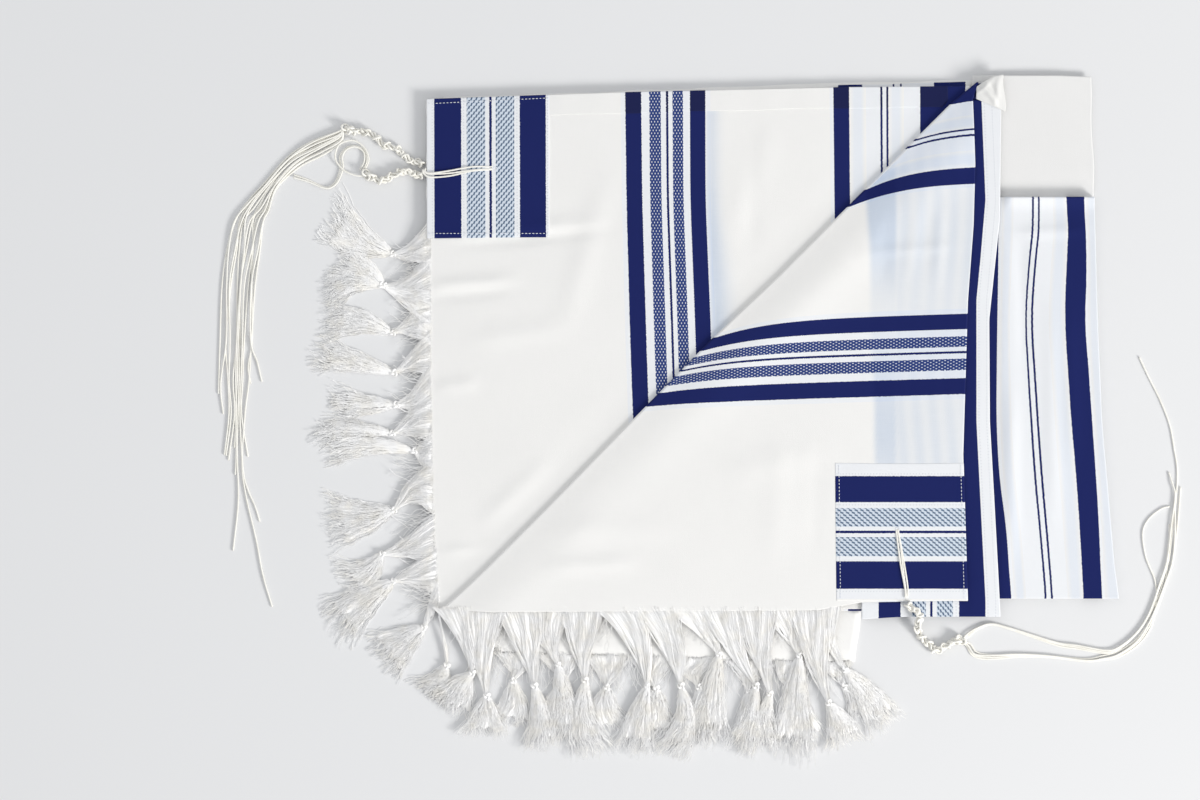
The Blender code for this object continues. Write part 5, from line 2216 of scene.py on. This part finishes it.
TURNED_UPPER_LANE: Table = (
    (0.224, -0.1905), (0.2323, -0.1847), (0.2445, -0.1803), (0.2603, -0.1836), (0.2797, -0.1898),
    (0.3042, -0.1978), (0.3217, -0.2005), (0.3477, -0.2049), (0.3601, -0.2005), (0.3725, -0.1898),
    (0.3814, -0.1777), (0.3883, -0.1637), (0.3953, -0.1443), (0.4024, -0.1233), (0.4062, -0.0914),
    (0.409, -0.0665), (0.41, -0.0439), (0.4071, -0.0239), (0.4031, -0.0029), (0.3947, 0.0186),
    (0.385, 0.0381), (0.3761, 0.0569),
)
TURNED_LOWER_LANE: Table = (
    (0.224, -0.1995), (0.2288, -0.2067), (0.2375, -0.2093), (0.2528, -0.2093), (0.2691, -0.2084),
    (0.2954, -0.2092), (0.3287, -0.2127), (0.3445, -0.211), (0.358, -0.2078), (0.375, -0.1965),
    (0.3858, -0.181), (0.3929, -0.165), (0.4, -0.1446), (0.4063, -0.1233), (0.4103, -0.0914),
    (0.413, -0.0585),
)
TURNED_LOOP: Table = (
    (0.3899, -0.1423), (0.3818, -0.121), (0.3785, -0.0996), (0.3832, -0.0865), (0.3947, -0.0766),
    (0.403, -0.0745),
)


@dataclass(frozen=True)
class LaneStrand:
    """A strand of the lower bundle: its lane at the top, middle and foot, its layer and its tail."""

    top: float
    middle: float
    foot: float
    high: bool
    tail: Table


@dataclass
class CornerStrings:
    """The knotted strings of one corner: strands through the eyelet, knots and long free ends."""

    finish: Material
    radius: float = 0.00082
    chain_radius: float = 0.00102
    chain_diameter: float = 0.0068
    twine_pitch: float = 0.017
    twine_radius: float = 0.0017
    spacing: float = 0.0012
    eyelet_dip: float = 0.0012
    strands: tuple[LaneStrand, ...] = (
        LaneStrand(0.0, 0.0, 0.0, False, ((-0.4404, 0.024),)),
        LaneStrand(0.4, 0.3, 0.35, True, ((-0.4385, 0.033), (-0.4362, 0.006))),
        LaneStrand(0.2, 0.7, 0.65, False, ((-0.432, 0.0364), (-0.4312, 0.0062), (-0.4352, -0.0302))),
        LaneStrand(0.9, 0.5, 1.0, True, ((-0.4311, 0.0364), (-0.4293, 0.0062), (-0.4337, -0.031))),
        LaneStrand(0.7, 1.2, 1.35, False, ((-0.4275, 0.0364), (-0.4262, 0.0062), (-0.4316, -0.035))),
        LaneStrand(1.3, 1.0, 1.7, True, ((-0.4252, 0.0364), (-0.4245, 0.0062), (-0.4262, -0.024))),
        LaneStrand(
            1.1, 1.6, 2.0, False,
            (
                (-0.4222, 0.0364), (-0.4231, 0.0062), (-0.424, -0.0302), (-0.4228, -0.0701),
                (-0.4275, -0.1153),
            ),
        ),
        LaneStrand(
            1.8, 2.0, 1.5, True,
            (
                (-0.424, 0.033), (-0.4252, 0.0062), (-0.4245, -0.02), (-0.4255, -0.048),
            ),
        ),
        LaneStrand(2.2, 1.8, 2.4, False, ((-0.419, 0.0364), (-0.42, 0.0062), (-0.4142, -0.0319))),
        LaneStrand(
            1.6, 2.4, 2.2, True,
            (
                (-0.4205, 0.0364), (-0.4215, 0.0062), (-0.4187, -0.0426), (-0.4142, -0.0612),
                (-0.408, -0.0754), (-0.4036, -0.0896),
            ),
        ),
        LaneStrand(2.6, 2.3, 2.7, False, ((-0.414, 0.048), (-0.4116, 0.0328))),
        LaneStrand(
            2.9, 3.0, 3.0, False,
            (
                (-0.4133, 0.0364), (-0.4169, 0.0062), (-0.4195, -0.0373), (-0.416, -0.0665),
                (-0.4071, -0.1047), (-0.4009, -0.137), (-0.3927, -0.165),
            ),
        ),
        LaneStrand(2.4, 2.8, 2.9, True, ((-0.406, 0.052), (-0.4018, 0.0346))),
    )

    def build(self) -> None:
        """Make every stretch of both corners' strings."""
        self._lower_bundle()
        self._hole_strands("lower", LOWER_HOLE_ROUTE, 3, 0.0017)
        self._hole_strands("turned", TURNED_HOLE_ROUTE, 3, 0.0012)
        self._chain("lower_knots", LOWER_UPPER_KNOTS_ROUTE, 7)
        self._chain("lower_second_knots", LOWER_SECOND_KNOTS_ROUTE, 6)
        self._chain("turned_knots", TURNED_KNOTS_ROUTE, 9)
        self._ring()
        self._turned_bundle()

    def _cord(
        self, name: str, path: Array, node: str
    ) -> None:
        """Args:
            name: The piece's name.
            path: The strand's middle line.
            node: The CAD node that it stands for.
        """
        piece = joined_tubes(name, [PlyTube(path, self.radius)], self.finish)
        settle(piece, "corner_string", node)
        round(2 * self.radius, 5)

    def _lower_bundle(self) -> None:
        """The long free strands beside the lower half's corner."""
        lanes = np.array([lane[:SHARED_STATIONS] for lane in LOWER_LANES])
        for number, strand in enumerate(self.strands, start=1):
            share = np.linspace(0.0, 1.0, SHARED_STATIONS)
            lane = np.interp(share, [0.0, 0.45, 1.0], [strand.top, strand.middle, strand.foot])
            lane = lane + 0.22 * np.sin(np.arange(SHARED_STATIONS) * 1.25 + number * 2.1)
            lane = np.clip(lane, 0.0, 3.0)
            low = np.clip(np.floor(lane).astype(int), 0, 2)
            part = (lane - low)[:, None]
            station = np.arange(SHARED_STATIONS)
            plan = lanes[low, station] * (1 - part) + lanes[low + 1, station] * part
            start = np.array(LOWER_UPPER_KNOTS_ROUTE[-1][:2])
            plan = np.vstack([start * 0.8 + plan[0] * 0.2, plan, np.array(strand.tail)])
            rest = STRAND_HIGH if strand.high else STRAND_LOW
            height = np.full(len(plan), rest)
            height[:3] = (0.004, 0.0036, 0.003) if strand.high else (0.003, 0.0022, 0.0014)
            height[SHARED_STATIONS + 1:] = STRAND_LOW + 0.0004
            height[-1] = STRAND_LOW
            path = smooth_route(np.column_stack([plan, height]), self.spacing)
            node = f"tzitzit_lower_strands_{min(4, 1 + round(strand.foot))}"
            self._cord(f"lower_string_{number}", path, node)

    def _hole_strands(self, side: str, route: Route, count: int, gap: float) -> None:
        """The strands that run from the eyelet to the first knot.

        Args:
            side: Which corner.
            route: The route of their middle.
            count: How many there are.
            gap: The distance between them.
        """
        for number in range(count):
            shift = (number - (count - 1) / 2) * gap
            wander = 1.0 + 0.8 * np.sin(np.arange(len(route)) * 1.4 + number * 2.0)
            points = shifted(np.array(route), shift * wander)
            points[0, 2] -= self.eyelet_dip
            path = smooth_route(points, self.spacing)
            name = f"{side}_eyelet_string_{number + 1}"
            self._cord(name, path, f"tzitzit_{side}_hole_strands")

    def _knot_tube(self, centre: Array, tangent: Array, size: float, tilt: float) -> PlyTube:
        """One overhand knot round a string.

        Args:
            centre: The knot's middle.
            tangent: The string's direction.
            size: The knot's scale.
            tilt: A turn of the knot about the string.

        Returns:
            The knot's tube.
        """
        local = overhand(40, 1.4)
        side = np.cross(tangent, (0.0, 0.0, 1.0))
        side = side / max(np.linalg.norm(side), 1e-6)
        up = np.cross(side, tangent)
        first = side * math.cos(tilt) + up * math.sin(tilt)
        second = np.cross(tangent, first)
        path = centre + size * (
            local[:, :1] * tangent * 0.95 + local[:, 1:2] * first * 0.62 + local[:, 2:3] * second
        )
        path[:, 2] = np.maximum(path[:, 2], self.chain_radius + 0.0001)
        return PlyTube(path, self.chain_radius, sides=7, twist_pitch=0.004, closed=True)

    def _chain(self, name: str, route: Route, knots: int) -> None:
        """A knotted stretch: twined strands with overhand knots along them.

        Args:
            name: The stretch's name.
            route: Its route.
            knots: How many knots it has.
        """
        path = smooth_route(route, MILLIMETRE)
        tangents, first, second = frames_along(path)
        run = np.arange(len(path)) * MILLIMETRE
        tubes = []
        for phase in (0.0, math.tau / 3, 2 * math.tau / 3):
            angle = run * math.tau / self.twine_pitch + phase
            offset = first * np.cos(angle)[:, None] + second * np.sin(angle)[:, None]
            tubes.append(PlyTube(path + offset * self.twine_radius, self.chain_radius, sides=7))
        ties = [
            (int((len(path) - 1) * (number + 0.35) / knots), 0.0004, 0.0018, 0.5 + 1.1 * number)
            for number in range(knots)
        ]
        for index, lift, size, tilt in (*ties, (-4, 0.001, 0.0022, 0.3)):
            tubes.append(self._knot_tube(path[index] + (0.0, 0.0, lift), tangents[index], size, tilt))
        piece = joined_tubes(f"{name}_string", tubes, self.finish)
        settle(piece, "corner_string", f"tzitzit_{name}")

    def _ring(self) -> None:
        """The loose ring of string between the knots and the long bundle."""
        for number, shift in enumerate((-0.0009, 0.0007, 0.0022), start=1):
            points = np.array(LOWER_RING_ROUTE if number < 3 else LOWER_LOOP_ROUTE)
            wander = 1.0 + 0.6 * np.sin(np.arange(len(points)) * 1.1 + number)
            points = shifted(points, shift * wander)
            points[:, 2] = (STRAND_LOW, STRAND_HIGH, 0.0032)[number - 1]
            path = smooth_route(points, self.spacing)
            name = f"lower_ring_string_{number}"
            self._cord(name, path, "tzitzit_lower_ring")

    def _turned_bundle(self) -> None:
        """The long free strands beside the turned-back corner."""
        upper, lower, loop = TURNED_UPPER_LANE, TURNED_LOWER_LANE, TURNED_LOOP
        plans = (
            (upper, 0.0, 1, False),
            (upper[:16] + ((0.406, -0.055), (0.4027, -0.0452)), 0.0012, 1, True),
            (upper[:13] + ((0.401, -0.11), (0.4018, -0.0914)), -0.0013, 1, False),
            (lower, 0.0, 2, False),
            (lower[:14] + ((0.4085, -0.095), (0.4085, -0.076)), 0.0014, 2, True),
            (lower[:11] + ((0.3905, -0.162),) + loop, -0.0013, 3, False),
            (lower[:13] + ((0.403, -0.128), (0.405, -0.109)), 0.0027, 2, False),
        )
        for number, (plan, shift, bundle, high) in enumerate(plans, start=1):
            wander = 0.75 + 0.5 * np.sin(np.arange(len(plan)) * 0.9 + number)
            points = shifted(np.array(plan), shift * wander)
            start = np.array(TURNED_KNOTS_ROUTE[-1][:2])
            points = np.vstack([start + (points[0] - start) * 0.25, points])
            height = np.full(len(points), STRAND_HIGH if high else STRAND_LOW)
            height[0] = 0.0026
            height[-1] = STRAND_LOW
            path = smooth_route(np.column_stack([points, height]), self.spacing)
            node = f"tzitzit_turned_strands_{bundle}"
            self._cord(f"turned_string_{number}", path, node)


# ------------------------------------------------------------------------------ stitching


@dataclass
class Stitching:
    """The machine stitches along two edges of each patch, and the worked eyelets."""

    tree: GrowthTree
    threads: GrowthTree
    lower: LowerHalf
    turned: TurnedCorner
    finish: Material
    hole_shade: Material
    pitch: float = 0.0031
    stitch: float = 0.0021
    thread_radius: float = 0.00034
    sink: float = 0.0002
    hole_radius: float = 0.0011
    ray_count: int = 26
    ray_inner: float = 0.0009
    ray_outer: float = 0.0024

    def build(self) -> None:
        """Sew every run."""
        lower_seams = (((-0.253, 0.1662), (-0.1485, 0.1662)), ((-0.253, 0.2812), (-0.1485, 0.2862)))
        turned_seams = (((0.1096, -0.04), (0.111, -0.156)), ((0.2175, -0.04), (0.2205, -0.156)))
        self._run("lower_patch_stitches", lower_seams, self._lower_height, "lower_corner_patch")
        self._run("turned_patch_stitches", turned_seams, self._turned_height, "turned_corner_patch")
        self._eyelet("lower_eyelet", (-0.1951, 0.2235), self._lower_height, "lower_corner_patch")
        self._eyelet("turned_eyelet", (0.1614, -0.0958), self._turned_height, "turned_corner_patch")

    def _lower_height(self, x: Array, y: Array) -> Array:
        """The height of the lower patch's upper side."""
        return self.lower.layers.trim + 0.6 * self.lower.relief(x, y) + 0.0006

    def _turned_height(self, x: Array, y: Array) -> Array:
        """The height of the turned patch's upper side."""
        return self.turned.height(x, y) + 0.0015

    def _run(
        self, name: str, seams: Sequence[Table], height: Callable[..., Array], node: str
    ) -> None:
        """Sew stitches along straight seams.

        Args:
            name: The piece's name.
            seams: The start and the end of each seam.
            height: The height of the cloth that they are in.
            node: The CAD node that they are on.
        """
        lines = []
        for start, end in seams:
            plan = np.linspace(start, end, 40)
            lines.append(np.column_stack([plan, height(plan[:, 0], plan[:, 1]) - self.sink]))
        values = {
            "Pitch": self.pitch, "Stitch Length": self.stitch, "Thread Radius": self.thread_radius,
            "Seed": 7, "Material": self.finish,
        }
        mesh = self.tree.grow(name, edge_object(lines), values)
        mesh.shade_smooth()
        settle(linked(name, mesh), "ribbon", node)

    def _eyelet(
        self, name: str, centre: tuple[float, float], height: Callable[..., Array], node: str
    ) -> None:
        """Work an eyelet: a dark disc of painted shade for the hole, with close stitches round it.

        Args:
            name: The piece's name.
            centre: Its middle.
            height: The height of the cloth that it is in.
            node: The CAD node that it is in.
        """
        top = float(height(np.array(centre[0]), np.array(centre[1])))
        lines = []
        for number in range(self.ray_count):
            angle = math.tau * number / self.ray_count
            out = np.array((math.cos(angle), math.sin(angle)))
            inner, outer = centre + out * self.ray_inner, centre + out * self.ray_outer
            middle = (inner + outer) / 2
            lines.append(
                np.array([(*inner, top - 0.0003), (*middle, top + 0.0003), (*outer, top - 0.0002)])
            )
        values = {"Thread Radius": 0.00024, "Sides": 5, "Material": self.finish}
        mesh = self.threads.grow(name, edge_object(lines), values)
        settle(linked(name, mesh), "ribbon", node)
        # The hole is a dark disc of painted shade, just above the cloth.
        angle = np.arange(16) * math.tau / 16
        x, y = centre[0] + self.hole_radius * np.cos(angle), centre[1] + self.hole_radius * np.sin(angle)
        rim = raised(x, y, np.full(16, top + HAIR))
        hole = mesh_object(name + "_hole", rim, [tuple(range(16))], self.hole_shade)
        settle(hole, "ribbon", node)


LEFT_TASSELS = tassels(
    (-253, 156, -286, 148, -343, 186, 23),
    (-253, 130, -293, 120, -337, 142, 18.9),
    (-253, 100, -295.5, 120.5, -349, 111, 12.1),
    (-253, 85, -286, 78, -348, 88, 16.2),
    (-253, 60, -284.7, 43, -356, 60, 13.5),
    (-252.8, 30, -283, 14.2, -341, 16, 13.5),
    (-252.3, 2, -286.5, -11, -356, -11.5, 10.1),
    (-251.7, -26, -267, -26.6, -343, -27.5, 10.8),
    (-251, -60, -285, -79, -345, -90, 23),
    (-249.5, -102, -295, -118, -331, -142, 17.5),
    (-247.5, -133, -285, -142, -340, -185, 20.3),
    (-246, -152, -258, -183, -299, -212, 23, 10),
    (-245, -163, -238, -217, -258, -242, 16.2, 8),
)
TURNED_TASSELS = tassels(
    (-228, -166, -215, -223.5, -242, -254, 14.9),
    (-205, -166, -202.2, -244, -205, -280, 20.3),
    (-175, -166, -160, -235, -156, -292, 12.1),
    (-150, -166, -139, -216, -132, -286, 14.9),
    (-120, -166, -115, -230, -108, -295, 17.5),
    (-85, -166, -60, -235, -72, -296, 17.5),
    (-56, -166, -30, -235, -42, -296, 14.9),
    (-25, -166, 3.5, -207, -8, -288, 17.5),
    (5, -166, 36.4, -235, 23, -296, 13.5),
    (35, -166, 48.8, -242, 43, -290, 12.1),
    (60, -166, 75, -208, 70, -302, 18.9),
    (85, -166, 101, -250, 115, -288, 16.2),
    (102, -165, 115, -220, 152, -273, 18.9, 8),
)
HIDDEN_TASSELS = tassels(
    (-208, -196, -217, -225, -235, -256, 18.9, 16),
    (-178, -206, -179, -230, -185, -272, 20.3, 18),
    (-140, -207, -135, -232, -132, -280, 20.3, 20),
    (-98, -208, -96, -236, -92, -278, 21.6, 22),
    (-55, -209, -52, -237, -56, -283, 20.3, 22),
    (-12, -210.5, -14, -236, -18, -285, 21.6, 22),
    (31, -212, 30, -240, 38, -282, 21.6, 22),
    (72, -213, 73, -240, 80, -286, 21.6, 20),
    (106, -214, 115, -235, 133, -260, 18.9, 14),
)


def main() -> None:
    """Build the shawl on its frame and report each piece."""
    logging.basicConfig(level=logging.INFO, format="%(name)s %(message)s")
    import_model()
    Studio().build()
    layers = Layers.read()
    cord_finish = Yarn("string", PALETTE.cord, PALETTE.cord_shade).make()
    fringe_finish = Yarn("fringe thread", PALETTE.thread, PALETTE.thread_shade).make()
    stitch_finish = Yarn("sewing thread", (0.8, 0.82, 0.86), (0.66, 0.7, 0.78)).make()
    # The eyelet holes' colour is painted shade.
    hole_shade = Yarn("eyelet shade", (0.02, 0.03, 0.09), (0.01, 0.015, 0.05), sheen=0.0).make()
    CornerStrings(cord_finish).build()
    HiddenLayers().build()
    lower = LowerHalf(layers)
    lower.build()
    NeckBand(layers).build()
    turned = TurnedCorner(layers)
    turned.build()
    OuterPanels(layers).build()
    CrumpledCorner().build()
    threads = thread_tree()
    along_y, along_x = (0.0, 1.0), (1.0, 0.0)
    fringes = (
        KnottedFringe("lower_fringe", "fringe_lower_end", LEFT_TASSELS, 0.0071, along_y, 0.0002, 11),
        KnottedFringe(
            "hidden_fringe", "fringe_hidden_end", HIDDEN_TASSELS, 0.0024, along_x, 0.0002, 23,
            threads=72, loose=300,
        ),
        KnottedFringe("turned_fringe", "fringe_turned_end", TURNED_TASSELS, 0.0113, along_x, 0.0029, 37),
    )
    for fringe in fringes:
        fringe.build(threads, fringe_finish)
    Stitching(stitch_tree(), threads, lower, turned, stitch_finish, hole_shade).build()


if __name__ == "__main__":
    main()
